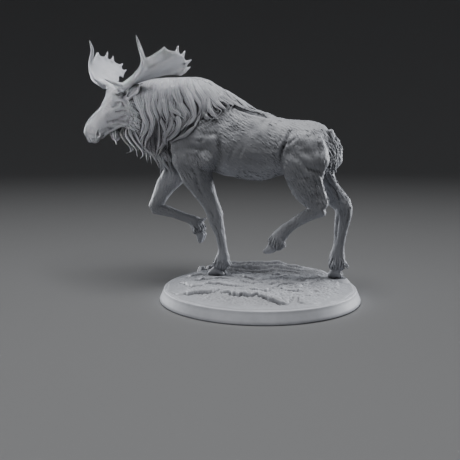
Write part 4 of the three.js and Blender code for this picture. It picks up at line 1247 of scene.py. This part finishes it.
def throatLocks():
    chance = np.random.default_rng(8)
    basket = LockBasket()
    for line, wide in throat["strands"]:
        for side in throat["sides"]:
            shift = chance.uniform(-0.7, 0.7)
            size = 1.0 if side == -1 else chance.uniform(0.6, 1.0)
            short = 0 if side == -1 else chance.uniform(0, 0.25)
            path = spline([(x, 0, z) for x, z in line], 6)
            t = np.linspace(0, 1, len(path))
            keep = max(4, int(len(path) * (1 - short)))
            path, t = path[:keep], t[:keep]
            path[:, 1] = centreY(path[:, 0]) + side * throat["spread"] * (1.15 - 0.75 * t)
            path[:, 1] += 0.25 * np.sin(chance.uniform(0, 6) + 6 * t)
            path[:, 0] += (0 if side == -1 else shift) * (0.4 + 0.6 * t)
            path[:, 0] += 0.2 * np.sin(chance.uniform(0, 6) + 8 * t) * t
            normals = np.tile([0.0, side or -0.3, 0.2], (len(path), 1))
            basket.add(path, normals, wide * size, wide * 0.75 * size, strands=2, drift=chance.uniform(-1, 1))
    return basket


throatLocks().piece("throat_hair", ["throat_mane"])


# The bell under the throat, in the head's axes: locks from a row of roots that meet at a point.
bell = {
    "locks": 14,
    "row": (-1.2, 2.0),  # where the roots start and end, forward
    "point": 0.3,  # where they draw together
    "tip": 0.28,
    "rootUp": -9.6,
    "endUp": -14.3,
}


def bellLocks():
    chance = np.random.default_rng(9)
    basket = LockBasket()
    first, final = bell["row"]
    for k in range(bell["locks"]):
        f, l = first + (final - first) * k / (bell["locks"] - 1), chance.uniform(-0.45, 0.45)
        off = f - bell["point"]
        end = bell["endUp"] + 1.7 * abs(off) + chance.uniform(-0.1, 0.4)
        path = spline([onHead(bell["point"] + off, l, bell["rootUp"]),
                       onHead(bell["point"] + off * 0.75, l * 0.8, -11.2),
                       onHead(bell["point"] + off * 0.35, l * 0.5, -12.6),
                       onHead(bell["tip"] + off * 0.15, l * 0.2, end)], 5)
        basket.add(path, np.tile(headLeft, (len(path), 1)), 0.42, 0.4, strands=2, drift=chance.uniform(-1, 1))
    return basket


bellLocks().piece("bell_hair", ["bell"])


# Small tousled tufts behind the cheek and below the ear, where the face meets the neck.
cheek = {
    "edge": [(-1.0, 3.6, -2.6), (-1.6, 4.2, -4.0), (-2.2, 4.6, -5.4), (-2.6, 4.7, -6.9), (-2.5, 4.2, -8.1),
             (-1.9, 3.2, -9.2), (-1.3, 2.4, -9.7)],
    "tufts": 120,
    "long": (1.5, 3.0),
    "wide": (0.12, 0.24),
}


def cheekLocks():
    chance = np.random.default_rng(12)
    basket = LockBasket()
    for hand in (1, -1):
        edge = spline([onHead(f, l * hand, u) for f, l, u in cheek["edge"]], 12)
        for k in range(cheek["tufts"]):
            t = k / cheek["tufts"]
            nearest = skinTree.find(edge[int(t * (len(edge) - 1))] + chance.uniform(-0.35, 0.35, 3))[1]
            root, out = skinPoints[nearest], skinNormals[nearest]
            back = -ahead * (0.5 + 0.5 * t) - headUp * (0.9 - 0.3 * t) + chance.uniform(-0.22, 0.22, 3)
            back = unit(back - 0.8 * (back @ out) * out)
            run = back * chance.uniform(*cheek["long"])
            curl = np.cross(back, out) * chance.uniform(-0.5, 0.5)
            path = spline([root - back * 0.4, root + out * 0.16 + run * 0.35 - curl * 0.4,
                           root + out * 0.12 + run * 0.7 + curl * 0.3, root + run + curl], 5)
            path = closeToSkin(path, np.linspace(0.1, 0.3, len(path)))
            basket.add(path, np.tile(out, (len(path), 1)), chance.uniform(*cheek["wide"]), 0.16, strands=1,
                       rings=12, sides=8)
    return basket


cheekLocks().piece("cheek_hair", [])


# Tufts of the short coat: all over, thicker where it breaks the outline.
# Place (x, out from the middle, z), reach, how many, length, half width, how far the tips stand off.
tufts = {
    "everywhere": (400, 1.6, 0.1, 0.03),
    "patches": [
        ((-10.9, -3.5, 8.0), 2.0, 130, 2.2, 0.22, 0.3),  # fetlocks
        ((-20.0, 3.6, 15.8), 2.0, 110, 1.9, 0.2, 0.3),
        ((4.0, -4.3, 14.2), 2.3, 150, 2.2, 0.22, 0.3),
        ((17.9, 3.5, 8.6), 2.3, 150, 2.3, 0.22, 0.3),
        ((16.2, 0.0, 38.0), 3.4, 100, 2.2, 0.22, 0.35),  # rump
        ((15.6, 0.0, 33.0), 3.2, 70, 2.0, 0.22, 0.35),
        ((-14.4, -6.0, 33.0), 2.6, 50, 1.5, 0.12, 0.15),  # elbows
        ((-14.4, 6.0, 33.0), 2.6, 50, 1.5, 0.12, 0.15),
        ((-21.0, 0.0, 33.0), 4.0, 80, 2.2, 0.22, 0.5),  # breast
        ((-4.0, 0.0, 30.5), 6.0, 110, 1.5, 0.11, 0.16),  # belly
        ((5.0, 0.0, 32.0), 4.0, 70, 1.5, 0.11, 0.16),
        ((14.4, -4.3, 27.0), 3.0, 60, 1.6, 0.12, 0.2),  # backs of the thighs
        ((17.0, 3.7, 27.0), 3.0, 60, 1.6, 0.12, 0.2),
    ],
}


def coatTufts():
    chance = np.random.default_rng(14)
    basket = LockBasket()
    x, z = skinPoints[:, 0], skinPoints[:, 2]
    underMane = (x < -11) & (z > 44.5) | (x < -24) & (z > 36)
    picks = [(np.flatnonzero(~underMane & (z >= 24)), *tufts["everywhere"])]
    isBehindFace = fromHead(skinPoints)[:, 0] < -4
    for place, reach, *rest in tufts["patches"]:
        away = np.linalg.norm(skinPoints - onBody(*place), axis=1)
        picks.append((np.flatnonzero((away < reach) & isBehindFace), *rest))
    t = np.linspace(0, 1, 5)[:, None]
    for places, number, long, wide, off in picks:
        chosen = chance.choice(places, number, replace=False)
        root, normal = skinPoints[chosen], skinNormals[chosen]
        for p, n, way in zip(root, normal, furFlow(root, normal)):
            size = chance.uniform(0.6, 1.3)
            bend = np.cross(n, way) * chance.uniform(-0.25, 0.25)
            up = -0.1 + 0.2 * t + off * size * t * t
            path = p + way * (long * size * t - 0.25) + n * up + bend * t * t
            path = closeToSkin(path, 0.1 + off * t[:, 0])
            basket.add(path, np.tile(n, (5, 1)), wide * size, wide * 0.75 * size, strands=1, rings=7, sides=6)
    return basket


coatTufts().piece("coat_tufts", [], "body", furResin)


tailHair = {"locks": 26, "top": 41.4, "lowest": 30.9, "long": (2.0, 3.4), "wide": 0.34, "thick": 0.26}


def tailLocks():
    chance = np.random.default_rng(10)
    basket = LockBasket()
    for k in range(tailHair["locks"]):
        t = chance.uniform(0, 0.75)
        x, z = 16.3 + 0.5 * math.sin(t * 2.6), tailHair["top"] - 8.5 * t
        out = chance.uniform(-0.7, 0.7)
        long = chance.uniform(*tailHair["long"])
        root = onBody(x - 0.1, -0.15 + out * 0.6, z)
        middle = onBody(x + 0.42, -0.2 + out * 0.9, z - long * 0.5)
        end = onBody(x + 0.15 + chance.uniform(-0.2, 0.4), -0.2 + out, max(z - long, tailHair["lowest"]))
        path = spline([root, middle, end], 6)
        basket.add(path, np.tile([1.0, out * 0.6, 0.1], (len(path), 1)), tailHair["wide"], tailHair["thick"],
                   strands=2, rings=14, sides=10)
    return basket


tailLocks().piece("tail_hair", [])


# Antlers: drawn for the left one in the head's axes, and mirrored.

antler = {
    "voxel": 0.11,
    "beam": [(0.1, 1.4, -0.1, 0.9), (0.2, 2.9, 0.6, 1.1), (0.25, 3.4, 0.8, 0.9), (0.3, 4.6, 1.2, 0.88),
             (0.7, 7.0, 1.9, 0.88), (0.9, 9.6, 2.9, 0.76), (0.7, 11.6, 4.4, 0.56)],
    "frontTine": [(0.4, 12.2, 5.2, 0.54), (0.5, 12.4, 7.2, 0.56), (0.75, 11.1, 10.2, 0.42),
                  (1.65, 10.9, 12.65, 0.15)],
    "browTine": [(0.7, 5.2, 1.0, 0.75), (2.4, 4.0, 1.3, 0.55), (4.0, 3.0, 1.9, 0.38), (5.2, 2.5, 2.4, 0.15)],
    "rearTines": [
        [(-6.4, 16.2, 8.7, 0.3), (-6.75, 16.2, 9.7, 0.36), (-6.95, 16.15, 10.7, 0.15)],
        [(-8.2, 15.8, 8.3, 0.3), (-8.7, 16.2, 9.1, 0.36), (-8.95, 16.4, 9.9, 0.15)],
        [(-10.0, 15.1, 6.9, 0.3), (-10.9, 15.4, 7.4, 0.36), (-11.6, 15.6, 7.85, 0.15)],
        [(-10.7, 14.2, 5.4, 0.3), (-11.6, 14.5, 5.9, 0.32), (-12.2, 14.6, 6.3, 0.15)],
        [(-3.45, 15.2, 9.2, 0.3), (-3.45, 15.4, 10.15, 0.13)],
    ],
    # the four edges of the palm: inner rear, beam side, root, and outer rim
    "palmRear": [(-2.0, 4.2, 1.8), (-4.2, 6.4, 3.0), (-5.6, 8.6, 3.8), (-7.3, 10.9, 4.2), (-8.8, 12.5, 4.1),
                 (-10.2, 13.1, 4.4)],
    "palmFront": [(0.2, 5.2, 1.4), (0.6, 7.6, 2.2), (0.7, 9.6, 3.1), (0.5, 11.4, 4.7), (0.1, 12.2, 6.6),
                  (-1.0, 12.6, 8.5)],
    "palmRim": [(-10.2, 13.1, 4.4), (-10.8, 14.1, 5.5), (-10.2, 15.0, 6.9), (-8.6, 15.8, 8.2),
                (-7.2, 16.2, 8.8), (-5.6, 16.4, 8.8), (-4.4, 15.9, 9.2), (-3.45, 15.4, 9.6),
                (-2.5, 14.5, 9.2), (-1.0, 12.6, 8.5)],
    "palmThick": (0.66, 0.36),  # half of it, at the root and at the rim
    "dish": 0.3,
    "streaks": 0.05,
    "smoothing": 8,
    "burrTurns": 11,
}


def evened(sheet):  # the grid of points moved onto the smooth cupped surface nearest to it
    flat = sheet.reshape(-1, 3)
    middle = flat.mean(0)
    axes = np.linalg.svd(flat - middle, full_matrices=False)[2]
    scale = 6  # about the palm's half width, so that no power grows large
    p, q, high = ((flat - middle) @ axes.T / scale).T
    terms = np.stack([p ** i * q ** j for i in range(4) for j in range(4 - i)], 1)
    smooth = terms @ np.linalg.lstsq(terms, high, rcond=None)[0]
    return (flat + (scale * (smooth - high))[:, None] * axes[2]).reshape(sheet.shape)


def palmSheet():  # the middle layer of the palm between its four edges, and its half thickness
    edges = ("palmRear", "palmFront", "palmRim")
    rear, front, rim = (spline([onHead(*p) for p in antler[edge]], 8) for edge in edges)
    t = np.linspace(0, 1, len(rear))[:, None, None]
    s = np.linspace(0, 1, len(rim))[None, :, None]
    root = rear[0] + (front[0] - rear[0]) * s[0]
    sheet = (1 - s) * rear[:, None] + s * front[:, None] + (1 - t) * root[None] + t * rim[None]
    sheet -= (1 - t) * ((1 - s) * rear[0] + s * front[0]) + t * ((1 - s) * rear[-1] + s * front[-1])
    for _ in range(80):  # spreads the grid evenly between its edges
        sheet[1:-1, 1:-1] = (sheet[:-2, 1:-1] + sheet[2:, 1:-1] + sheet[1:-1, :-2] + sheet[1:-1, 2:]) / 4
    sheet = evened(sheet)
    outward = units(np.cross(np.gradient(sheet, axis=0), np.gradient(sheet, axis=1)))
    hollow = antler["dish"] * 4 * s * (1 - s) * np.sin(np.pi * (0.1 + 0.75 * t))
    thickRoot, thickRim = antler["palmThick"]
    thick = (thickRoot + (thickRim - thickRoot) * t) * (0.66 + 0.34 * np.sin(np.pi * s))
    return sheet + outward * hollow, thick[..., 0]


def plate(sheet, thick):  # a curved plate as a solid, from a grid of points and its half thickness
    rows, columns = thick.shape
    index = np.arange(rows * columns).reshape(rows, columns)
    quads = np.stack([index[:-1, :-1], index[1:, :-1], index[1:, 1:], index[:-1, 1:]], -1).reshape(-1, 4)
    flat = sheet.reshape(-1, 3)
    tree = BVHTree.FromPolygons([Vector(p) for p in flat], quads.tolist())
    around = thick.reshape(-1)[quads].mean(1)

    def distance(p):
        found = [tree.find_nearest(Vector(q), 3.0) for q in p.tolist()]
        return np.array([3.0 if hit[3] is None else hit[3] - around[hit[2]] for hit in found], np.float32)

    middle = flat.mean(0)
    return distance, middle, middle, -50.0, np.linalg.norm(flat - middle, axis=1).max() + thick.max()


def antlerForms():
    forms = [
        add(headChain(antler["beam"], 4), 0.9),
        add(plate(*palmSheet()), 1.3),
        add(headChain(antler["frontTine"], 4), 1.0),
        add(headChain(antler["browTine"], 4), 0.4),
    ]
    forms += [add(headChain(rows, 4), 0.9) for rows in antler["rearTines"]]
    burr = [(0.2 + 1.12 * math.cos(a), 2.75 + 0.35 * math.sin(a), 0.55 + 1.05 * math.sin(a), 0.22)
            for a in np.linspace(0, 2 * math.pi, antler["burrTurns"])]
    forms.append(add(headChain(burr, 2), 0.2))
    return forms


def mirrored(points):  # to the other side of the head
    return points - 2 * ((points - headAt) @ headLeft)[:, None] * headLeft


def streaked(points, normals):  # low ridges that fan out over the palm
    sheet, _ = palmSheet()
    root, rim = sheet[0].mean(0), sheet[-1]
    reach = np.linalg.norm(rim.mean(0) - root)
    along = unit(rim.mean(0) - root)
    face = unit(np.cross(rim[0] - root, rim[-1] - root))
    away = points - root
    angle = np.arctan2(away @ np.cross(face, along), away @ along)
    ridge = np.sin(angle * 20 + 1.6 * noiseAt(points, 3.0, 41))
    inner = np.clip((normals @ (headUp - 0.6 * headLeft)) * 3, 0.15, 1)
    lift = antler["streaks"] * ridge * inner * np.clip(away @ along / reach * 3 - 0.6, 0, 1)
    lift += 0.03 * noiseAt(points, 1.3, 42)
    return points + normals * lift[:, None]


antlerPoints, antlerFaces = biggestPart(*sculpted(antlerForms(), antler["voxel"]))
antlerPoints = smoothed(antlerPoints, antlerFaces, antler["smoothing"])
antlerPoints = streaked(antlerPoints, normalsOf(antlerPoints, antlerFaces))
antlerPair = {
    "left": (antlerPoints, antlerFaces),
    "right": (mirrored(antlerPoints), antlerFaces[:, ::-1]),
}
for name, (points, faces) in antlerPair.items():
    nodes = ["antler_%s_%s" % (name, part) for part in ("beam", "brow_tine", "front_tine", "palm")]
    castPiece("antler_" + name, points, faces, "antlers", nodes, antlerResin)
report("antlers: %d faces each" % len(antlerFaces))


# Eyes

def eyeBall(hand):
    centre = headSide(hand)(*eye["at"])
    points = []
    for a in np.linspace(0, math.pi, eye["rings"] + 1):
        bulge = 1 + 0.06 * max(0, math.cos(a)) ** 8
        for k in range(eye["sides"]):
            b = 2 * math.pi * k / eye["sides"]
            way = math.cos(a) * headLeft * hand + math.sin(a) * (math.cos(b) * ahead + math.sin(b) * headUp)
            points.append(centre + eye["radius"] * bulge * way)
    faces = ringFaces(eye["rings"] + 1, eye["sides"])
    return np.array(points), faces if hand > 0 else faces[:, ::-1]


for name, hand in (("left", 1), ("right", -1)):
    castPiece("eye_" + name, *eyeBall(hand), "eyes", ["eye_" + name], eyeResin)


# Hooves: two toes each, with the coronet that closes round the leg.

hooves = {
    "foreleg_left": {"top": (-11.3, -3.5, 7.3), "toe": (-14.1, -3.5, 4.9), "heel": (-10.4, -3.5, 5.1),
                     "sole": 4.6, "half": 0.85, "high": 1.15},
    "foreleg_right": {"top": (-19.8, 3.6, 15.2), "toe": (-19.2, 3.6, 11.7), "heel": (-18.4, 3.6, 13.9),
                      "sole": None, "half": 0.75, "high": 0.95},
    "hindleg_left": {"top": (3.6, -4.3, 13.6), "toe": (0.9, -4.3, 11.6), "heel": (3.3, -4.3, 12.2),
                     "sole": None, "half": 0.85, "high": 1.0},
    "hindleg_right": {"top": (17.9, 3.5, 7.3), "toe": (16.0, 3.5, 4.9), "heel": (18.8, 3.5, 5.1),
                      "sole": 4.4, "half": 0.9, "high": 1.2},
}


def hoofForms(hoof):
    top, toe, heel = (onBody(*hoof[key]) for key in ("top", "toe", "heel"))
    middle = (top + toe + heel) / 3
    half, high = hoof["half"], hoof["high"]
    forms = [add(oval(top, (1.35, 1.3, 0.8)), 0.1)]
    for out in (-1, 1):
        shift = vec(0, out * half * 0.98, 0)
        rows = [
            (top + shift * 0.7, 1.2, half * 0.9),
            (middle + shift, high * 1.15, half * 0.88),
            ((toe * 2 + middle) / 3 + shift * 0.98, high * 0.8, half * 0.82),
            (toe + shift * 0.8, high * 0.4, half * 0.45),
        ]
        forms.append(add(limb(rows), 0.12))
        forms.append(add(bar(middle + shift, heel + shift, half * 0.8, half * 0.75), 0.25))
    forms.append(cut(limb([(toe, 2.2, 0.3), (middle + (toe - middle) * 0.15, 1.7, 0.18)], 2), 0.15))
    if hoof["sole"]:  # flat where it stands on the ground
        forms.append(cut(oval(vec(toe[0], toe[1], hoof["sole"] - 3), (9, 9, 3.0)), 0.06))
    return forms


for leg, hoof in hooves.items():
    points, faces = biggestPart(*sculpted(hoofForms(hoof), 0.11))
    castPiece(leg + "_hoof", smoothed(points, faces, 1), faces, "hooves", [leg + "_hoof"], hoofResin)
report("hooves")


# Round base with a rounded lip.

base = {"radius": 25.0, "topRadius": 24.0, "height": 3.0, "round": 0.35, "sides": 256}


def basePiece():
    r, top, h, edge = base["radius"], base["topRadius"], base["height"], base["round"]
    turns = np.linspace(0, math.pi / 2, 6)
    profile = [(0.01, 0), (r * 0.5, 0), (r - edge * 1.2, 0)]
    profile += [(r - edge * (1 - math.sin(t)), edge * (1 - math.cos(t))) for t in turns]
    profile += [(r + (top - r) * s, edge + (h - 2 * edge) * s) for s in (0.25, 0.5, 0.75)]
    profile += [(top - edge * (1 - math.cos(t)), h - edge * (1 - math.sin(t))) for t in turns]
    profile += [(top - 1.2, h), (top * 0.5, h), (0.01, h)]
    return lathe(profile, base["sides"])


castPiece("round_base", *basePiece(), "base", ["base_disc"], baseResin)


# Ground: a low mound of rock slabs, fallen wood and gravel, as one height over the disc.

ground = {
    "radius": 23.3,
    "foot": 2.95,  # height of its edge, just inside the base
    "lip": 3.2,
    "mound": 1.35,
    "skirt": 0.3,  # share of the radius in which the mound rises
    "gravel": 0.14,
    "flakes": 0.16,
    "rings": 150,
    "sectors": 620,
}

# Edges of rock plates, as lines in x and y: the rock on a line's left stands higher and runs out
# away from it. Line, height of the step, how far it runs.
ledges = [
    ([(-19.0, -13.6), (-17.0, -15.1), (-14.8, -16.3), (-12.7, -16.2), (-10.6, -16.6), (-8.0, -16.7),
      (-6.6, -15.2), (-5.6, -12.8)], 0.85, 2.6),
    ([(-5.6, -14.6), (-4.2, -16.2), (-3.0, -15.6), (-1.5, -17.3), (0.0, -17.7), (0.6, -16.6), (1.8, -17.4),
      (2.6, -16.2), (3.4, -15.3), (4.3, -16.7), (6.0, -17.5), (7.9, -17.8), (9.8, -18.4), (11.2, -17.8),
      (11.6, -15.2)], 0.8, 3.4),
    ([(-12.0, -7.2), (-11.0, -8.2), (-9.2, -8.8), (-7.8, -7.8), (-5.5, -8.7), (-3.0, -9.5), (-1.4, -8.4)],
     0.5, 3.4),
    ([(-16.4, -4.8), (-15.0, -5.5), (-13.8, -3.6), (-11.5, -3.2), (-9.3, -2.0), (-7.6, -2.4)], 0.4, 2.6),
    ([(-5.6, 3.4), (-4.6, 2.0), (-2.0, 0.1), (0.0, -1.4), (1.1, -0.7), (2.0, 0.8)], 0.45, 2.2),
    ([(-3.4, -2.6), (-2.0, -3.6), (-0.1, -4.7), (1.0, -3.2), (2.4, -3.6)], 0.4, 1.8),
    ([(-0.6, -9.4), (1.7, -10.6), (3.6, -11.6), (5.0, -12.5), (5.4, -10.4), (4.4, -8.4)], 0.55, 1.9),
    ([(6.8, -6.4), (7.6, -7.8), (9.4, -10.3), (10.6, -9.7), (11.8, -9.9), (12.8, -8.4)], 0.5, 1.8),
    ([(4.6, -8.4), (5.4, -7.4), (6.4, -4.2), (8.4, -2.4), (10.5, -3.4), (11.9, -1.8), (13.1, 0.9),
      (15.2, 4.5)], 0.4, 2.4),
    ([(-18.6, -5.8), (-17.4, -8.0), (-14.7, -11.2), (-12.7, -11.8), (-11.4, -9.6)], 0.4, 2.2),
    ([(12.6, -13.4), (13.6, -15.4), (15.3, -15.8), (16.6, -14.2)], 0.35, 2.0),
    ([(-10.6, 4.4), (-8.4, 5.2), (-5.6, 6.2), (-2.6, 6.0), (0.4, 7.0), (2.6, 8.6), (4.6, 8.4)], 0.4, 0.9),
    ([(-20.4, 0.4), (-18.0, -1.2), (-16.2, 0.6), (-13.6, 0.2), (-11.6, 1.6)], 0.4, 2.4),
    ([(19.2, 8.0), (16.6, 9.6), (13.0, 8.6), (9.0, 10.0)], 0.3, 2.0),
    ([(14.0, 17.4), (8.0, 18.6), (2.0, 17.8), (-4.0, 19.0), (-10.0, 17.6)], 0.45, 3.0),
    ([(-12.0, 15.6), (-15.6, 13.6), (-18.6, 10.2), (-20.2, 6.6)], 0.4, 2.6),
]
crest = {  # the high edge at the back: place and height, how far it runs down before and behind
    "line": [(-16.6, 8.6, 4.3), (-14.4, 10.0, 5.9), (-11.6, 10.7, 6.4), (-8.0, 11.2, 6.5), (-4.4, 11.6, 6.8),
             (-1.6, 12.1, 6.7), (1.4, 12.2, 7.2), (4.0, 12.4, 6.5), (7.6, 12.7, 5.9), (11.2, 13.0, 5.3),
             (16.0, 13.4, 4.5)],
    "before": 4.6,
    "behind": 6.0,
}
scoop = {"at": (-3.8, 8.6), "reach": (7.4, 1.7), "bend": 0.035, "deep": 0.55}
# Loose stones: x, y, radius and height of the top.
stones = [
    (4.6, -4.0, 1.3, 5.5), (6.4, -2.8, 1.1, 5.4), (11.2, -5.4, 1.2, 5.2), (9.2, -4.2, 0.8, 5.1),
    (-14.0, 0.6, 0.7, 5.3), (-10.3, 2.2, 0.6, 5.2), (-18.6, 8.4, 1.2, 5.3), (-16.9, 10.2, 0.9, 5.4),
    (13.5, -9.5, 0.6, 4.8), (15.6, -7.2, 0.7, 4.7), (3.0, 7.5, 0.7, 5.0), (12.0, 9.5, 0.8, 4.9),
]


def stepLedges(z, p, px, py, rise):
    near = np.clip(rise * 2.2, 0.25, 1)
    for line, step, reach in ledges:
        d, along = besideLine(px, py, line)
        fade = np.clip(np.minimum(along, 1 - along) / 0.14, 0, 1) ** 0.7
        back = np.clip(1 - d / reach, 0, 1)
        face = np.clip(d / 0.16, 0, 1) * back ** 0.7
        layers = 1 - 0.22 * (back < 0.62 + 0.1 * noiseAt(p, 1.4, step))
        foot = -0.42 * np.exp(-((d + 0.14) / 0.26) ** 2)
        z = z + fade * near * step * (face * layers + foot)
    return z


def raiseCrest(z, p, x, y):  # also gives the grain of the wood, which the scoop takes on
    line = [place[:2] for place in crest["line"]]
    d, along = besideLine(x, y, line)
    top = np.interp(along * (len(line) - 1), np.arange(len(line)), [place[2] for place in crest["line"]])
    before = np.clip(1 + d / crest["before"], 0, 1) ** 2.1
    behind = np.clip(1 - d / crest["behind"], 0, 1) ** 0.9
    share = np.where(d < 0, before, behind) * np.clip(np.minimum(along, 1 - along) / 0.05, 0, 1)
    grain = 0.14 * np.sin(d * 5.4 + 2.6 * noiseAt(p, 2.4, 9)) + 0.05 * np.sin(d * 9 + 3 * noiseAt(p, 1.5, 10))
    risen = z + (top - z) * share + grain * np.clip(share * 4, 0, 1) * np.where(d < 0.2, 1, 0.3)
    return np.maximum(z, risen), grain


def scoopOut(z, p, grain):  # a bent hollow in the wood before the crest
    (atX, atY), (reachX, reachY) = scoop["at"], scoop["reach"]
    sx = (p[:, 0] - atX) / reachX
    sy = (p[:, 1] - atY + scoop["bend"] * (p[:, 0] - atX) ** 2) / reachY
    dip = np.exp(-(sx * sx + sy * sy) ** 2)
    return z - scoop["deep"] * dip + grain * 0.6 * dip


def strewStones(z, px, py):
    for x, y, size, high in stones:
        d = np.hypot(px - x, (py - y) * 1.15) / size
        z = np.where(d < 1.15, np.maximum(z, high - 0.9 * size * d ** 3), z)
    return z


def groundHeight(x, y):
    p = np.stack([x, y, np.zeros_like(x)], 1)
    rise = np.clip((ground["radius"] - np.hypot(x, y)) / ground["radius"] / ground["skirt"], 0, 1)
    rise = rise * rise * (3 - 2 * rise)
    wander = np.stack([noiseAt(p, 2.6, 1), noiseAt(p, 2.6, 2)], 1) * 0.5
    wander += np.stack([noiseAt(p, 0.9, 3), noiseAt(p, 0.9, 4)], 1) * 0.34
    px, py = x + wander[:, 0], y + wander[:, 1]
    z = ground["lip"] + ground["mound"] * rise + 0.26 * noiseAt(p, 4.0, 5) * rise
    z = stepLedges(z, p, px, py, rise)
    z, grain = raiseCrest(z, p, x + 0.6 * wander[:, 0], y + 0.6 * wander[:, 1])
    z = scoopOut(z, p, grain)
    z = strewStones(z, px, py)
    pebbles = 0.5 + 0.5 * np.clip((x - y - 8) / 10, -1, 1)  # more of them at the front right
    gravel = np.maximum(noiseAt(p, 0.62, 6), 0) * (ground["gravel"] + 0.22 * pebbles)
    gravel += noiseAt(p, 0.34, 7) * 0.1
    flakes = np.abs(noiseAt(p * (1, 2.2, 1), 1.5, 12)) ** 0.6 * ground["flakes"]
    return z + (gravel + flakes) * np.clip(rise * 1.6, 0.15, 1)


def levelUnder(z, x, y, hoof):  # flat ground where a hoof stands
    cx, cy = (hoof["toe"][0] + hoof["heel"][0]) / 2, midY + hoof["toe"][1]
    d = np.hypot((x - cx) / 2.9, (y - cy) / 2.5)
    return z + (hoof["sole"] - 0.04 - z) * np.clip((1.45 - d) / 0.45, 0, 1)


def groundPiece():
    rings, sectors = ground["rings"], ground["sectors"]
    radii = ground["radius"] * np.sqrt(np.linspace(0.0002, 1, rings))
    radii = 0.5 * radii + 0.5 * ground["radius"] * np.linspace(0.004, 1, rings)
    angle = 2 * math.pi * np.arange(sectors) / sectors
    rim = 1 + 0.008 * np.sin(angle * 7) + 0.006 * np.sin(angle * 17 + 1)
    x = (radii[:, None] * np.cos(angle) * rim).ravel()
    y = (radii[:, None] * np.sin(angle) * rim).ravel()
    edge = np.clip((ground["radius"] - np.repeat(radii, sectors)) / 0.5, 0, 1)
    z = ground["foot"] + (groundHeight(x, y) - ground["foot"]) * np.sqrt(edge)
    for hoof in hooves.values():
        if hoof["sole"]:
            z = levelUnder(z, x, y, hoof)
    points = np.vstack([np.stack([x, y, z], 1), [[0, 0, z[:sectors].mean()]]])
    k = np.arange(0, sectors, 2)
    middle = np.stack([np.full(len(k), rings * sectors), k, k + 1, (k + 2) % sectors], 1)
    return points, np.vstack([ringFaces(rings, sectors, flip=True), middle])


castPiece("ground", *groundPiece(), "ground", ["ground"], groundResin)
report("ground")


# Floor, lights and camera

studio = {
    "cameraAt": (41.48, -151.74, 39.82),
    "cameraLooks": (-0.3059, 0.9413, -0.1426),
    "lens": 50,
    "floor": (0.50, 0.505, 0.515, 1),
    "flat": 600.0,
    "bend": 400.0,
    "wall": 1500.0,
    "sky": 0.03,
    # place, the point it faces, width in mm, watts, spread in degrees, tint, what it shines on
    "lights": {
        "keyLight": ((0, 5, 330), (-5, 0, 30), 200, 1.35, 180, (1, 1, 1), "figure"),
        "frontLight": ((-150, -260, 100), (-10, 0, 30), 90, 0.085, 180, (1, 1, 1), "figure"),
        "headLight": ((-170, -220, 130), (-62, -20, 66), 30, 0.004, 12, (1, 1, 1), "figure"),
        "faceLight": ((0, -270, 70), (-41, -6, 45), 20, 0.0009, 7, (1, 1, 1), "figure"),
        "antlerLight": ((-30, -300, 30), (-22, -4, 60), 14, 0.0009, 6, (1, 1, 1), "figure"),
        "baseLight": ((-60, -320, 60), (0, -24, 0), 60, 0.17, 180, (1, 1, 1), "roundBase"),
        "rimLight": ((150, 140, 60), (0, 0, 35), 60, 0.6, 180, (0.95, 0.97, 1), "figure"),
        "sideLight": ((-220, 80, 60), (-10, 0, 35), 60, 0.5, 180, (0.95, 0.97, 1), "figure"),
        "floorLight": ((0, -100, 400), (0, 0, 0), 300, 0.7, 180, (1, 1, 1), "floor"),
    },
}


def floorPiece():  # a round floor that sweeps up into a wall far behind
    turns = np.linspace(0, math.pi / 2, 16)
    flat, bend, top = studio["flat"], studio["bend"], studio["wall"]
    profile = [(0.1, -0.02)] + [(r, -0.02) for r in np.linspace(20, flat, 14)]
    profile += [(flat + bend * math.sin(t), bend * (1 - math.cos(t)) - 0.02) for t in turns[1:]]
    profile += [(flat + bend, z) for z in np.linspace(bend, top, 6)[1:]]
    points, faces = lathe(profile, 96)
    paint = bpy.data.materials.new("paleFloor")
    paint.use_nodes = True
    shader = paint.node_tree.nodes["Principled BSDF"]
    shader.inputs["Base Color"].default_value = studio["floor"]
    shader.inputs["Roughness"].default_value = 0.8
    floor = meshObject("floor", points, faces[:, ::-1], paint)
    return floor


def softLight(name, place, aim, size, watts, spread, tint, lit):
    lamp = bpy.data.lights.new(name, "AREA")
    lamp.shape = "DISK"
    lamp.size = size * mm
    lamp.energy = watts
    lamp.color = tint
    lamp.spread = math.radians(spread)
    light = bpy.data.objects.new(name, lamp)
    light.location = Vector(place) * mm
    light.rotation_euler = (Vector(aim) - Vector(place)).to_track_quat("-Z", "Y").to_euler()
    light.light_linking.receiver_collection = lit
    bpy.context.scene.collection.objects.link(light)


# Most lights shine on the figure alone, and the floor has its own, so that its bounce stays low.
pieces = [made for made in bpy.context.scene.objects if made.type == "MESH"]
litParts = {"figure": pieces, "roundBase": [bpy.data.objects["round_base"]], "floor": [floorPiece()]}
receivers = {}
for name, parts in litParts.items():
    receivers[name] = bpy.data.collections.new(name)
    for part in parts:
        receivers[name].objects.link(part)
for name, (*settings, lit) in studio["lights"].items():
    softLight(name, *settings, receivers[lit])

world = bpy.data.worlds.new("studio")
world.use_nodes = True
world.node_tree.nodes["Background"].inputs["Color"].default_value = (0.9, 0.93, 1, 1)
world.node_tree.nodes["Background"].inputs["Strength"].default_value = studio["sky"]
bpy.context.scene.world = world

cameraData = bpy.data.cameras.new("camera")
cameraData.lens = studio["lens"]
cameraData.clip_start = 0.001
camera = bpy.data.objects.new("camera", cameraData)
camera.location = Vector(studio["cameraAt"]) * mm
camera.rotation_euler = Vector(studio["cameraLooks"]).to_track_quat("-Z", "Y").to_euler()
bpy.context.scene.collection.objects.link(camera)
bpy.context.scene.camera = camera
report("floor, lights and camera")
